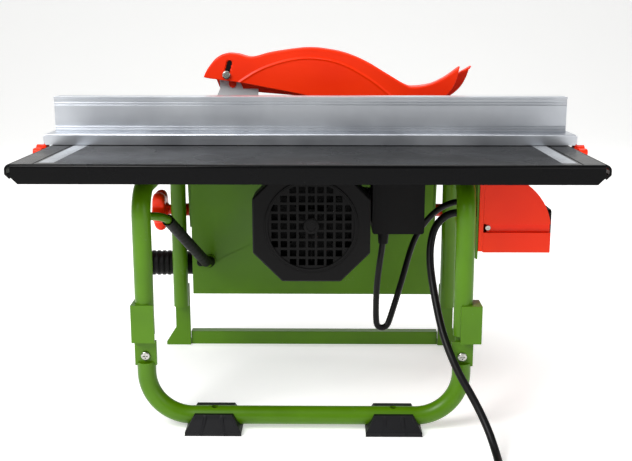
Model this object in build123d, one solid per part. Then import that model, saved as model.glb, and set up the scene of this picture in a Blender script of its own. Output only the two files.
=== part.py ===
"""Bench tile cutter with a tilting motor panel, a tubular stand and a rip fence.

Millimetres. X runs along the table, +X is the operator's end with the switch. Y runs across the
table, +Y is the disc's side. Z is up, and the origin is on the floor under the table's centre.
"""
from build123d import *
from math import cos, degrees, hypot, pi, radians, sin, sqrt, tan
import os

# ---- driving dimensions ----
TABLE_LENGTH = 505.0
TABLE_DEPTH = 373.0
TABLE_TOP = 255.0
TABLE_SHEET = 2.0
SKIRT = 17.0
SKIRT_CHAMFER = 6.0
NOSE_REACH = 5.7
NOSE_ROUND = 5.0
NOSE_DROP = 13.0
EDGE_ROUND = 3.0

DISC_Y = 93.5
DISC_X = 3.0
DISC_R = 100.0
DISC_CORE = 1.6
DISC_RIM = 2.2
AXIS_DROP = 64.0
ARBOR_R = 8.0

TILT_MAX = 45.0
HEIGHT_UP = 8.0
HEIGHT_DOWN = 10.0

TUBE_R = 8.6
TUBE_WALL = 1.5
STAND_Z = 12.6
STAND_BEND = 42.0
LEG_Y = -146.5
STAND_HALF = 146.0
STAND_SHIFT = -4.0
POST_Y = 81.5
POST_REAR_X = -152.0
POST_FRONT_X = 157.0
TUBE_TOP_Z = 227.0
TOP_BEND = 26.0
LEG_END_Z = 92.0
POST_END_Z = 51.0
POST_SCREWS = (POST_END_Z + 6, POST_END_Z + 18)

PANEL_REAR_X = -136.0
PANEL_FRONT_X = 137.0
PANEL_NEAR_Y = 68.5
PANEL_SHEET = 2.5
PANEL_BOTTOM = 69.0
PANEL_TOP = 236.0
EAR_DEPTH = 56.0
LOCK_Y = 98.5
LOCK_Z = 162.0
GUIDE_R = 52.0
BOLT_R = 3.0
SLOT_CLEARANCE = 0.35
END_PLATE = 2.5
PLATE_GAP = 1.5

MOTOR_R = 47.0
COVER_WIDTH = 108.0
COVER_HEIGHT = 104.5
COVER_CHAMFER = 27.0
COVER_FRONT_Y = -134.5
COVER_DEPTH = 34.0
COVER_WALL = 2.2
GRILLE_R = 41.7
GRILLE_RING = 1.7
GRILLE_PITCH = 8.4
GRILLE_BAR = 2.3
GRILLE_BOSS_R = 5.6
SHIELD = 12.0
SHIELD_BOLT = 34.0
SHAFT_R = 6.0
RUN_CLEARANCE = 0.05
BEARING_R = 14.0
BEARING_WIDTH = 9.0

FENCE_Y = -54.5
FENCE_DEPTH = 44.0
FENCE_BASE = 520.0
FENCE_RAIL = 512.0
FENCE_LOW = 11.0
FENCE_HIGH = 46.0
FENCE_STEP = 25.0
FENCE_WALL = 2.0
FENCE_GAP = 0.6

GUARD_HALF = 15.0
GUARD_WALL = 2.2
KNIFE = 2.0
GUARD_PIVOT_X = -94.0
GUARD_PIVOT_H = 62.0

BOX_NEAR_Y = -101.5
BOX_FAR_Y = -26.5
BOX_INNER_X = 161.0
BOX_OUTER_X = 229.0
BOX_BOTTOM = 159.0
BOX_TOP = 236.0
BOX_WALL = 2.5
BOX_ROUND_X = 60.0
BOX_ROUND_Z = 56.0
GROOVE_LOW = 178.2
GROOVE_HIGH = 186.6
GROOVE_DEPTH = 4.4

FOOT_LENGTH = 52.0
FOOT_DEPTH = 40.0
FOOT_BASE = 3.6
FOOT_WALL_TOP = 17.0
FOOT_FAR_RISE = 2.5
FOOT_SLOPE = 7.6
FOOT_SPACING = 167.0
FOOT_HOLE_R = 3.2

LEAD_R = 3.0
MAINS_R = 3.6

# ---- derived places ----
HALF_X = TABLE_LENGTH / 2
HALF_Y = TABLE_DEPTH / 2
AXIS_Z = TABLE_TOP - AXIS_DROP
REAR_LEG_X = STAND_SHIFT - STAND_HALF
FRONT_LEG_X = STAND_SHIFT + STAND_HALF
MOTOR_BACK_Y = PANEL_NEAR_Y - 6.0
PIVOT = (DISC_Y, TABLE_TOP)
GUARD_PIVOT_Z = TABLE_TOP + GUARD_PIVOT_H

os.makedirs("parts", exist_ok=True)


def save(name, *solids):
    """Write one node made of one or more separate solids."""
    shape = solids[0] if len(solids) == 1 else Compound(children=list(solids))
    export_step(shape, f"parts/{name}.step")


def block(x0, x1, y0, y1, z0, z1):
    """A box between two corners."""
    centre = Pos((x0 + x1) / 2, (y0 + y1) / 2, (z0 + z1) / 2)
    return centre * Box(abs(x1 - x0), abs(y1 - y0), abs(z1 - z0))


def rod_y(x, z, r, y0, y1):
    """A cylinder along Y."""
    return Pos(x, (y0 + y1) / 2, z) * Rot(90, 0, 0) * Cylinder(r, abs(y1 - y0))


def rod_x(y, z, r, x0, x1):
    """A cylinder along X."""
    return Pos((x0 + x1) / 2, y, z) * Rot(0, 90, 0) * Cylinder(r, abs(x1 - x0))


def rod_z(x, y, r, z0, z1):
    """A cylinder along Z."""
    return Pos(x, y, (z0 + z1) / 2) * Cylinder(r, abs(z1 - z0))


def plate_xz(points, y0, y1):
    """A closed outline in X and Z, given thickness from y0 to y1."""
    face = make_face(Polyline([(x, 0, z) for x, z in points], close=True))
    return Pos(0, y0, 0) * extrude(face, amount=y1 - y0, dir=(0, 1, 0))


def plate_yz(points, x0, x1):
    """A closed outline in Y and Z, given thickness from x0 to x1."""
    face = make_face(Polyline([(0, y, z) for y, z in points], close=True))
    return Pos(x0, 0, 0) * extrude(face, amount=x1 - x0, dir=(1, 0, 0))


def swept_tube(points, bends, r, wall=0.0):
    """A round bar or tube along straight runs joined by tangent arcs."""
    path = FilletPolyline(*points, radius=bends)
    start = Plane(path @ 0, z_dir=path % 0)
    outer = sweep(start * Circle(r), path=path)
    if wall:
        outer -= sweep(start * Circle(r - wall), path=path)
    return outer


def cord_tube(name, points, r):
    """A cord's tube: each arc is as large as its two runs allow."""
    pts = [Vector(*p) for p in points]
    radii = []
    for a, b, c in zip(pts, pts[1:], pts[2:]):
        turn = (b - a).get_angle(c - b)
        run = min((b - a).length, (c - b).length)
        radii.append(0.45 * run / tan(radians(turn) / 2))
    path = FilletPolyline(*points, radius=radii)
    solid = sweep(Plane(path @ 0, z_dir=path % 0) * Circle(r), path=path)
    expected = pi * r * r * path.length
    print(name, "length", round(path.length, 1), "radii", [round(v) for v in radii],
          "volume ratio", round(solid.volume / expected, 4))
    return solid


def pan_screw(x, y, z, head_r, head_h, shank_r, length, turn=(90, 0, 0)):
    """A pan-head screw with a cross recess: the head stands along the turned +Z."""
    head = Cylinder(head_r, head_h, align=(Align.CENTER, Align.CENTER, Align.MIN))
    head = fillet(head.edges().sort_by(Axis.Z)[-1], head_h * 0.45)
    for angle in (0, 90):
        head -= Rot(0, 0, angle) * Pos(0, 0, head_h) * Box(head_r * 1.1, head_r * 0.26, head_h)
    shank = Cylinder(shank_r, length, align=(Align.CENTER, Align.CENTER, Align.MAX))
    return Pos(x, y, z) * Rot(*turn) * (head + shank)


def tilted(y, z, angle):
    """A point turned about the tilt axis, as (y, z)."""
    a = radians(angle)
    dy, dz = y - PIVOT[0], z - PIVOT[1]
    return PIVOT[0] + dy * cos(a) - dz * sin(a), PIVOT[1] + dy * sin(a) + dz * cos(a)


# ---- table ----
INSERT_X0, INSERT_X1 = -132.0, 104.0
INSERT_HALF = 30.0
INSERT_THICK = 3.0
LEDGE = 6.0
LEDGE_WALL = 1.5
SCALE_X = 224.5
SCALE_WIDTH = 13.4
SCALE_DEPTH = 0.4
SCALE_LENGTH = 350.0
SEAM_X = 233.8
SEAM_WIDTH = 1.2


def table_nose(side):
    """Rolled end of the table: a rounded edge, a short drop and a hem turned inwards."""
    edge, tip = side * HALF_X, side * (HALF_X + NOSE_REACH)
    back, sheet = edge - side, side * TABLE_SHEET
    z_round, z_drop, z_hem = TABLE_TOP - NOSE_ROUND, TABLE_TOP - 9.0, TABLE_TOP - NOSE_DROP
    outer = ThreePointArc((edge, 0, TABLE_TOP), (edge + side * NOSE_REACH * 0.71, 0, TABLE_TOP - 1.5),
                          (tip, 0, z_round))
    inner = ThreePointArc((tip - sheet, 0, z_round), (edge + side * NOSE_REACH * 0.4, 0, TABLE_TOP - 3.0),
                          (back, 0, TABLE_TOP - TABLE_SHEET))
    hem = [(tip, 0, z_round), (tip, 0, z_drop), (tip - side * 4, 0, z_hem), (tip - side * 5.4, 0, z_hem + 1.4),
           (tip - sheet, 0, z_drop + 0.8), (tip - sheet, 0, z_round)]
    close = [(back, 0, TABLE_TOP - TABLE_SHEET), (back, 0, TABLE_TOP), (edge, 0, TABLE_TOP)]
    runs = [outer] + [Line(p, q) for p, q in zip(hem, hem[1:])]
    runs += [inner] + [Line(p, q) for p, q in zip(close, close[1:])]
    nose = extrude(make_face(runs), amount=TABLE_DEPTH - 2 * EDGE_ROUND, dir=(0, 1, 0))
    return Pos(0, -HALF_Y + EDGE_ROUND, 0) * nose


def table_top():
    """Pressed steel tray: flat top, skirts, rolled end noses and a throat with a ledge."""
    top = block(-HALF_X, HALF_X, -HALF_Y, HALF_Y, TABLE_TOP - TABLE_SHEET, TABLE_TOP)
    low, cut = TABLE_TOP - SKIRT, SKIRT_CHAMFER
    outline = [(-HALF_X, TABLE_TOP), (HALF_X, TABLE_TOP), (HALF_X, low + cut), (HALF_X - cut, low),
               (-HALF_X + cut, low), (-HALF_X, low + cut)]
    top += plate_xz(outline, -HALF_Y, -HALF_Y + TABLE_SHEET)
    top += plate_xz(outline, HALF_Y - TABLE_SHEET, HALF_Y)
    rims = top.edges().filter_by(Axis.X).group_by(Axis.Z)[-1]
    top = fillet(rims, EDGE_ROUND)
    for side in (-1, 1):
        top += table_nose(side)
    throat = (INSERT_X0, INSERT_X1, DISC_Y - INSERT_HALF, DISC_Y + INSERT_HALF)
    x0, x1, y0, y1 = throat
    rim = block(x0 - LEDGE_WALL, x1 + LEDGE_WALL, y0 - LEDGE_WALL, y1 + LEDGE_WALL,
                TABLE_TOP - INSERT_THICK - LEDGE_WALL, TABLE_TOP - 0.5)
    top = top + rim
    top -= block(x0, x1, y0, y1, TABLE_TOP - INSERT_THICK, TABLE_TOP + 1)
    top -= block(x0 + LEDGE, x1 - LEDGE, y0 + LEDGE, y1 - LEDGE, TABLE_TOP - 20, TABLE_TOP + 1)
    for x in (x0 + LEDGE / 2, x1 - LEDGE / 2):
        top -= rod_z(x, DISC_Y, 1.3, TABLE_TOP - 20, TABLE_TOP)
    for side in (-1, 1):
        top -= block(side * SCALE_X - SCALE_WIDTH / 2, side * SCALE_X + SCALE_WIDTH / 2,
                     -SCALE_LENGTH / 2, SCALE_LENGTH / 2, TABLE_TOP - SCALE_DEPTH, TABLE_TOP + 1)
        top -= block(side * (SEAM_X - SEAM_WIDTH / 2), side * (SEAM_X + SEAM_WIDTH / 2),
                     -HALF_Y + EDGE_ROUND, HALF_Y - EDGE_ROUND, TABLE_TOP - 0.7, TABLE_TOP + 1)
    return top


def throat_insert():
    """Drop-in plate around the disc, slotted wide enough for the disc at full tilt."""
    gap = 0.25
    plate = block(INSERT_X0 + gap, INSERT_X1 - gap, DISC_Y - INSERT_HALF + gap,
                  DISC_Y + INSERT_HALF - gap, TABLE_TOP - INSERT_THICK, TABLE_TOP)
    plate = fillet(plate.edges().filter_by(Axis.Z), 3.0)
    plate -= block(-124.0, 94.0, DISC_Y - 4.0, DISC_Y + 9.0, TABLE_TOP - 10, TABLE_TOP + 1)
    for x in (INSERT_X0 + LEDGE / 2, INSERT_X1 - LEDGE / 2):
        plate -= rod_z(x, DISC_Y, 1.8, TABLE_TOP - 10, TABLE_TOP + 1)
        plate -= Pos(x, DISC_Y, TABLE_TOP - 0.8) * Cone(1.8, 2.6 + 0.1, 1.6)
    return plate


def insert_screws():
    """Two countersunk screws through the insert into the ledge."""
    screws = []
    for x in (INSERT_X0 + LEDGE / 2, INSERT_X1 - LEDGE / 2):
        head = Pos(x, DISC_Y, TABLE_TOP - 0.85) * Cone(1.6, 2.45, 1.5)
        head -= Pos(x, DISC_Y, TABLE_TOP) * Box(3.4, 0.6, 1.0)
        head -= Pos(x, DISC_Y, TABLE_TOP) * Box(0.6, 3.4, 1.0)
        screws.append(head + rod_z(x, DISC_Y, 1.25, TABLE_TOP - 8, TABLE_TOP - 1.3))
    return screws


def table_scales():
    """Two printed metal scale strips let into the table."""
    strips = []
    for side in (-1, 1):
        strips.append(block(side * SCALE_X - SCALE_WIDTH / 2 + 0.1, side * SCALE_X + SCALE_WIDTH / 2 - 0.1,
                            -SCALE_LENGTH / 2 + 0.1, SCALE_LENGTH / 2 - 0.1,
                            TABLE_TOP - SCALE_DEPTH, TABLE_TOP))
    return strips


# ---- stand ----
def leg_tube(leg_x, post_x):
    """Inverted U: near leg, top run under the table, far post."""
    points = [(leg_x, LEG_Y, LEG_END_Z), (leg_x, LEG_Y, TUBE_TOP_Z), (post_x, POST_Y, TUBE_TOP_Z),
              (post_x, POST_Y, POST_END_Z)]
    tube = swept_tube(points, TOP_BEND, TUBE_R, TUBE_WALL)
    for z in POST_SCREWS:
        tube -= rod_y(post_x, z, 2.2, POST_Y, POST_Y + 20)
    return tube


def stand_tube():
    """Bottom U of the stand, with flattened ends screwed to the leg brackets."""
    top = TAB_TOP - 20.5
    points = [(REAR_LEG_X, LEG_Y, top), (REAR_LEG_X, LEG_Y, STAND_Z),
              (FRONT_LEG_X, LEG_Y, STAND_Z), (FRONT_LEG_X, LEG_Y, top)]
    tube = swept_tube(points, STAND_BEND, TUBE_R, TUBE_WALL)
    for side, x in ((-1, REAR_LEG_X), (1, FRONT_LEG_X)):
        tab = block(x - 10, x + 10, LEG_Y - 3.2, LEG_Y - 0.2, top - 3, TAB_TOP)
        tube += tab
        tube -= rod_y(x, SCREW_Z, BOLT_R + 0.2, LEG_Y - 20, LEG_Y + 20)
        x_foot = STAND_SHIFT + side * FOOT_SPACING / 2
        tube -= rod_z(x_foot, LEG_Y, FOOT_HOLE_R, -5, 40)
    return tube


TAB_TOP = 86.0
SCREW_Z = 72.0
BRACKET_TOP = 122.0


def leg_brackets():
    """Two channel brackets welded on the leg ends, each reaching further outwards than inwards."""
    out = []
    low, near, far = TAB_TOP + 0.3, LEG_Y - TUBE_R - 0.1, LEG_Y + 12
    for x, inner, outer in ((REAR_LEG_X, REAR_LEG_X + 9.9, REAR_LEG_X - 11.2),
                            (FRONT_LEG_X, FRONT_LEG_X - 3.0, FRONT_LEG_X + 16.1)):
        side = 1 if outer > inner else -1
        bracket = block(inner, outer, near - 2.1, near, low, BRACKET_TOP)
        bracket += block(outer - side * 2.1, outer, near - 2.1, far, low, BRACKET_TOP)
        bracket += block(x - side * 3, outer, far - 2.1, far, low, BRACKET_TOP)
        cap = block(x, outer, near - 2.1, far, BRACKET_TOP - 2, BRACKET_TOP)
        bracket += cap - rod_z(x, LEG_Y, TUBE_R + 0.1, BRACKET_TOP - 9, BRACKET_TOP + 9)
        out.append(bracket)
    return out


def bracket_tongues():
    """Steel tongues from the leg tubes down behind the stand's tabs."""
    out = []
    for x in (REAR_LEG_X, FRONT_LEG_X):
        tongue = block(x - 6.3, x + 6.3, LEG_Y - 0.1, LEG_Y + 2.9, TAB_TOP - 21, LEG_END_Z + 22)
        tongue -= rod_y(x, SCREW_Z, BOLT_R + 0.2, LEG_Y - 20, LEG_Y + 20)
        tongue = tongue - block(x - 9, x + 9, LEG_Y - 9, LEG_Y + 9, LEG_END_Z - 60, TAB_TOP - 19.5)
        out.append(tongue)
    return out


def bracket_screws():
    """One cross-head screw with a nut at each tab."""
    out = []
    for x in (REAR_LEG_X, FRONT_LEG_X):
        screw = pan_screw(x, LEG_Y - 3.25, SCREW_Z, 4.2, 2.8, BOLT_R - 0.1, 12.0)
        nut = Pos(x, LEG_Y + 5.5, SCREW_Z) * Rot(90, 0, 0) * extrude(RegularPolygon(5.4, 6), amount=2.4, both=True)
        out += [screw, nut - rod_y(x, SCREW_Z, BOLT_R - 0.05, LEG_Y - 20, LEG_Y + 20)]
    return out


def rubber_foot(x):
    """Rubber saddle: flat base, sloping walls each side of the tube, and a bolt hole."""
    half, top_half = FOOT_LENGTH / 2, FOOT_LENGTH / 2 - 8
    saddle = TUBE_R + 0.2
    foot = block(x - half, x + half, LEG_Y - FOOT_DEPTH / 2, LEG_Y + FOOT_DEPTH / 2, 0, FOOT_BASE)
    for side, top in ((-1, FOOT_WALL_TOP), (1, FOOT_WALL_TOP + FOOT_FAR_RISE)):
        y_in, y_out = LEG_Y + side * (saddle - 5), LEG_Y + side * FOOT_DEPTH / 2
        outline = [(x - half, 0), (x + half, 0), (x + half, 3), (x + top_half, top), (x - top_half, top),
                   (x - half, 3)]
        wall = plate_xz(outline, min(y_in, y_out), max(y_in, y_out))
        wedge = [(y_out, 3), (y_out + side * 9, 3), (y_out + side * 9, top + 1),
                 (y_out - side * FOOT_SLOPE, top + 1)]
        foot += wall - plate_yz(wedge, x - half - 1, x + half + 1)
    foot -= Pos(x, LEG_Y, STAND_Z) * Rot(0, 90, 0) * Cylinder(saddle, FOOT_LENGTH + 4)
    return foot - rod_z(x, LEG_Y, FOOT_HOLE_R, -1, FOOT_WALL_TOP + 2)


def far_foot(x, side):
    """Flat post foot with a gusset that spreads on the floor."""
    half = 8.5
    foot = block(x - half, x + half, POST_Y + 9.2, POST_Y + 12.2, 0, POST_END_Z)
    outer = x + side * 20
    foot += plate_xz([(x + side * half, 0), (outer, 0), (outer, 4), (x + side * half, 22)],
                     POST_Y + 9.2, POST_Y + 12.2)
    foot += block(min(x - half, outer), max(x + half, outer), POST_Y + 9.2, POST_Y + 26, 0, 3)
    foot += block(x - half, x + half, POST_Y + 9.2 - 0.1, POST_Y + 12.2, POST_END_Z, POST_END_Z + 24)
    for z in POST_SCREWS:
        foot -= rod_y(x, z, 2.2, POST_Y - 20, POST_Y + 20)
    return foot


def far_foot_screws():
    """Two screws hold each far foot to its post."""
    out = []
    for x in (POST_REAR_X, POST_FRONT_X):
        for z in POST_SCREWS:
            out.append(pan_screw(x, POST_Y + 12.25, z, 3.6, 2.2, 2.1, 7.0, (-90, 0, 0)))
    return out


def far_crossbar():
    """Low channel bar that ties the two far feet together."""
    x0, x1 = POST_REAR_X + 8.7, POST_FRONT_X - 8.7
    bar = block(x0, x1, POST_Y + 12.4, POST_Y + 25, 0, 15.7)
    return bar - block(x0 - 1, x1 + 1, POST_Y + 14.4, POST_Y + 23, -1, 13.7)


def table_straps():
    """Four saddle blocks that weld the tubes' top runs to the table."""
    out = []
    for leg_x, post_x in ((REAR_LEG_X, POST_REAR_X), (FRONT_LEG_X, POST_FRONT_X)):
        for y in (LEG_Y + 45, POST_Y - 45):
            share = (y - LEG_Y) / (POST_Y - LEG_Y)
            x = leg_x + share * (post_x - leg_x)
            strap = block(x - 12, x + 12, y - 9, y + 9, TUBE_TOP_Z, TABLE_TOP - TABLE_SHEET)
            turn = -degrees((post_x - leg_x) / (POST_Y - LEG_Y))
            out.append(strap - Pos(x, y, TUBE_TOP_Z) * Rot(0, 0, turn) * Rot(90, 0, 0)
                       * Cylinder(TUBE_R + 0.02, 60))
    return out


# ---- tilting panel ----
EAR_REAR = PANEL_REAR_X
EAR_FRONT = PANEL_FRONT_X
END_PLATE_REAR = EAR_REAR - PLATE_GAP
END_PLATE_FRONT = EAR_FRONT + PLATE_GAP


def guide_point():
    """The upper guide stud's centre, on the tilt circle of radius GUIDE_R."""
    return DISC_Y - GUIDE_R * sin(radians(12)), TABLE_TOP - GUIDE_R * cos(radians(12))


def arc_slot(y, z, half_width, x0, x1):
    """A slot along the tilt circle through a point, from rest to full tilt."""
    centre = Vector(0, *PIVOT)
    at = [Vector(0, *tilted(y, z, a)) for a in (0, TILT_MAX / 2, TILT_MAX)]
    shapes = [[(p - centre).normalized() * ((p - centre).length + s * half_width) + centre for p in at]
              for s in (1, -1)]
    outer, inner = (ThreePointArc(*s) for s in shapes)
    rails = [outer, Line(outer @ 1, inner @ 1), inner, Line(inner @ 0, outer @ 0)]
    slot = Pos(x0, 0, 0) * extrude(make_face(rails), amount=x1 - x0, dir=(1, 0, 0))
    for p in (at[0], at[2]):
        slot += rod_x(p.Y, p.Z, half_width, x0, x1)
    return slot


def end_plate(x0, x1):
    """Fixed plate under the table with two arc slots for the tilt."""
    low_far, low_near = LOCK_Y + 84, LOCK_Y - 26
    outline = [(DISC_Y - 30, TABLE_TOP - TABLE_SHEET), (low_far, TABLE_TOP - TABLE_SHEET),
               (low_far, LOCK_Z + 26), (LOCK_Y + 50, LOCK_Z), (LOCK_Y + 8, LOCK_Z - 18),
               (low_near + 12, LOCK_Z - 18), (DISC_Y - 18, TABLE_TOP - 60)]
    plate = plate_yz(outline, x0, x1)
    flange_in, flange_out = (x0 - 12, x1) if x0 < 0 else (x0, x1 + 12)
    plate += block(flange_in, flange_out, DISC_Y - 26, DISC_Y + 80, TABLE_TOP - TABLE_SHEET - 2.5,
                   TABLE_TOP - TABLE_SHEET)
    half = BOLT_R + SLOT_CLEARANCE
    for y, z in ((LOCK_Y, LOCK_Z), guide_point()):
        plate -= arc_slot(y, z, half, x0 - 1, x1 + 1)
    return plate


def motor_panel():
    """Tilting sheet with a window for the motor's nose and an ear bent back at each end."""
    near, far = PANEL_NEAR_Y, PANEL_NEAR_Y + PANEL_SHEET
    panel = block(PANEL_REAR_X, PANEL_FRONT_X, near, far, PANEL_BOTTOM, PANEL_TOP)
    panel += block(PANEL_REAR_X, PANEL_FRONT_X, near, near + 8, PANEL_BOTTOM, PANEL_BOTTOM + PANEL_SHEET)
    ear = [(near, PANEL_TOP), (DISC_Y - 5, PANEL_TOP), (near + EAR_DEPTH, TABLE_TOP - 48),
           (near + EAR_DEPTH, LOCK_Z - 24), (near + 8, LOCK_Z - 36), (near + 8, PANEL_BOTTOM),
           (near, PANEL_BOTTOM)]
    for x0, x1 in ((EAR_REAR, EAR_REAR + PANEL_SHEET), (EAR_FRONT - PANEL_SHEET, EAR_FRONT)):
        panel += plate_yz(ear, x0, x1)
    window = block(DISC_X - 24, DISC_X + 24, near - 1, far + 1, AXIS_Z - 24 - HEIGHT_DOWN,
                   AXIS_Z + 24 + HEIGHT_UP)
    panel -= fillet(window.edges().filter_by(Axis.Y), 10)
    for x in SLIDE_STUDS:
        slot = block(x - 4.2, x + 4.2, near - 1, far + 1, AXIS_Z - HEIGHT_DOWN - 4.2,
                     AXIS_Z + HEIGHT_UP + 4.2)
        panel -= fillet(slot.edges().filter_by(Axis.Y), 4.1)
    panel -= rod_y(LEVER_X, LEVER_Z, LEVER_R + 0.05, near - 1, far + 1)
    for y, z in ((LOCK_Y, LOCK_Z), guide_point()):
        panel -= rod_x(y, z, BOLT_R + 0.02, PANEL_REAR_X - 1, PANEL_REAR_X + 4)
        panel -= rod_x(y, z, BOLT_R + 0.02, PANEL_FRONT_X - 4, PANEL_FRONT_X + 1)
    return panel


def lock_bolts():
    """A carriage bolt at each end, through ear and slot, that its knob tightens."""
    out = []
    for side, ear in ((-1, EAR_REAR), (1, EAR_FRONT)):
        inside, tip = ear - side * PANEL_SHEET, ear + side * 42
        bolt = rod_x(LOCK_Y, LOCK_Z, BOLT_R, inside - side * 0.5, tip)
        bolt += rod_x(LOCK_Y, LOCK_Z, 7.0, inside - side * 0.02, inside - side * 3.5)
        out.append(bolt)
    return out


def guide_studs():
    """A shouldered stud at each end that keeps the panel on its tilt circle."""
    y, z = guide_point()
    out = []
    for side, ear in ((-1, EAR_REAR), (1, EAR_FRONT)):
        inside = ear - side * PANEL_SHEET
        stud = rod_x(y, z, BOLT_R, inside - side * 0.5, ear + side * (PLATE_GAP + END_PLATE + 4))
        stud += rod_x(y, z, 5.5, inside - side * 0.02, inside - side * 3.0)
        stud += rod_x(y, z, 5.5, ear + side * (PLATE_GAP + END_PLATE + 0.4),
                      ear + side * (PLATE_GAP + END_PLATE + 3.4))
        out.append(stud)
    return out


KNOB_R = 24.0
KNOB_HUB_R = 7.0
KNOB_LOBES = 5


def lock_knob(side, ear):
    """Lobed clamping knob with a hub that bears on the end plate."""
    face = ear + side * (PLATE_GAP + END_PLATE + 0.3)
    sketch = Circle(KNOB_R)
    for n in range(KNOB_LOBES):
        sketch -= Rot(0, 0, 360 / KNOB_LOBES * (n + 0.5)) * Pos(KNOB_R + 4, 0) * Circle(8.5)
    head = extrude(sketch, amount=6.5, both=True)
    knob = Pos(ear + side * 44.5, LOCK_Y, LOCK_Z) * Rot(0, 90, 0) * head
    knob += rod_x(LOCK_Y, LOCK_Z, KNOB_HUB_R, face, ear + side * 40)
    knob -= rod_x(LOCK_Y, LOCK_Z, BOLT_R + RUN_CLEARANCE, face - side * 1, ear + side * 42.2)
    return knob


# ---- height lever ----
LEVER_X = -115.6
LEVER_Z = 109.0
LEVER_R = 4.0
LEVER_END = (-139.2, -85.0, 189.8)
LEVER_GRIP_R = 5.6


def lever_points():
    """The rod's route: out of the panel, up along the grip, then level to its tip."""
    x, y, z = LEVER_END
    return [(LEVER_X, PANEL_NEAR_Y + PANEL_SHEET + 5, LEVER_Z), (LEVER_X, PANEL_NEAR_Y - 20, LEVER_Z),
            (x, y, z), (x - 17, y + 3, z)]


def lever_rod():
    """Bent steel rod that turns in the panel, with a collar each side of the sheet."""
    pts = lever_points()
    rod = swept_tube(pts, [11.0, 9.0], LEVER_R)
    rod += rod_y(LEVER_X, LEVER_Z, LEVER_R + 3, PANEL_NEAR_Y - 4.4, PANEL_NEAR_Y - 0.4)
    rod += rod_y(LEVER_X, LEVER_Z, LEVER_R + 3, PANEL_NEAR_Y + PANEL_SHEET + 0.4,
                 PANEL_NEAR_Y + PANEL_SHEET + 4.4)
    return rod


def lever_sleeve():
    """Rubber sleeve on the lever's sloping run."""
    a, b = Vector(*lever_points()[1]), Vector(*lever_points()[2])
    along = (b - a).normalized()
    start, end = a + along * 14, b - along * 10
    line = Plane(start, z_dir=along)
    sleeve = line * extrude(Circle(LEVER_GRIP_R), amount=(end - start).length)
    return sleeve - line * Pos(0, 0, -1) * extrude(Circle(LEVER_R), amount=(end - start).length + 2)


# ---- motor ----
def cover_outline(shrink=0.0):
    """The fan cover's eight-sided outline in X and Z."""
    w, h, c = COVER_WIDTH / 2 - shrink, COVER_HEIGHT / 2 - shrink, COVER_CHAMFER - shrink * 0.5
    flat = [(-w, -h + c), (-w + c, -h), (w - c, -h), (w, -h + c), (w, h - c), (w - c, h), (-w + c, h), (-w, h - c)]
    return [(DISC_X + x, AXIS_Z + z) for x, z in flat]


def fan_cover():
    """Moulded cover with a round grille of square holes inside a raised ring."""
    y0, y1 = COVER_FRONT_Y, COVER_FRONT_Y + COVER_DEPTH
    cover = plate_xz(cover_outline(), y0, y1)
    cover = fillet(cover.edges().filter_by(Axis.Y), 3.0)
    cover = chamfer(cover.faces().sort_by(Axis.Y)[0].edges(), 1.5)
    cover -= plate_xz(cover_outline(COVER_WALL), y0 + COVER_WALL, y1 + 1)
    ring = rod_y(DISC_X, AXIS_Z, GRILLE_R, y0 - 1.5, y0 + COVER_WALL)
    inside = rod_y(DISC_X, AXIS_Z, GRILLE_R - GRILLE_RING, y0 - 3, y0 + 4)
    cover += ring - rod_y(DISC_X, AXIS_Z, GRILLE_R - GRILLE_RING, y0 - 3, y0 + 3)
    count = int(GRILLE_R // GRILLE_PITCH) + 1
    half = (GRILLE_PITCH - GRILLE_BAR) / 2
    for i in range(-count, count + 1):
        for j in range(-count, count + 1):
            across, up = abs(i) * GRILLE_PITCH, abs(j) * GRILLE_PITCH
            if hypot(max(0.0, across - half), max(0.0, up - half)) > GRILLE_R - GRILLE_RING - 2.5:
                continue
            x, z = DISC_X + i * GRILLE_PITCH, AXIS_Z + j * GRILLE_PITCH
            hole = block(x - half, x + half, y0 - 1, y0 + 4, z - half, z + half)
            if hypot(across + half, up + half) > GRILLE_R - GRILLE_RING:
                hole = hole & inside
            cover -= hole
    return cover + rod_y(DISC_X, AXIS_Z, GRILLE_BOSS_R, y0 - 1.0, y0 + COVER_WALL)


def motor_body():
    """Ribbed stator housing between the two end shields."""
    y0, y1 = COVER_FRONT_Y + COVER_DEPTH + SHIELD + 0.1, MOTOR_BACK_Y - SHIELD - 0.1
    body = rod_y(DISC_X, AXIS_Z, MOTOR_R - 4, y0, y1)
    fins = []
    for n in range(24):
        fin = Pos(0, (y0 + y1) / 2, 0) * Box(2.2, y1 - y0, 12)
        fins.append(Pos(DISC_X, 0, AXIS_Z) * Rot(0, 15 * n, 0) * Pos(0, 0, MOTOR_R - 7) * fin)
    body = body + fins
    return body - rod_y(DISC_X, AXIS_Z, MOTOR_R - 8, y0 - 1, y1 + 1)


def stator_core():
    """Stack of stator plates with the winding heads, pressed in the housing."""
    y0, y1 = COVER_FRONT_Y + COVER_DEPTH + SHIELD + 14, MOTOR_BACK_Y - SHIELD - 14
    core = rod_y(DISC_X, AXIS_Z, MOTOR_R - 8.02, y0 + 12, y1 - 12)
    heads = rod_y(DISC_X, AXIS_Z, MOTOR_R - 13, y0, y1)
    return core + heads - rod_y(DISC_X, AXIS_Z, ROTOR_R + 0.5, y0 - 1, y1 + 1)


ROTOR_R = 23.0


def end_shield(y0, y1, seat_front):
    """Square-cornered end shield with a bearing seat."""
    shield = plate_xz(cover_outline(4.0), y0, y1)
    shield -= rod_y(DISC_X, AXIS_Z, SHAFT_R + 2, y0 - 1, y1 + 1)
    seat = (y0 + 2, y1 + 1) if seat_front else (y0 - 1, y1 - 2)
    shield -= rod_y(DISC_X, AXIS_Z, BEARING_R + 0.01, *seat)
    for sx in (-1, 1):
        for sz in (-1, 1):
            shield -= rod_y(DISC_X + sx * SHIELD_BOLT, AXIS_Z + sz * SHIELD_BOLT, 2.1, y0 - 1, y1 + 1)
    return shield


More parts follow.
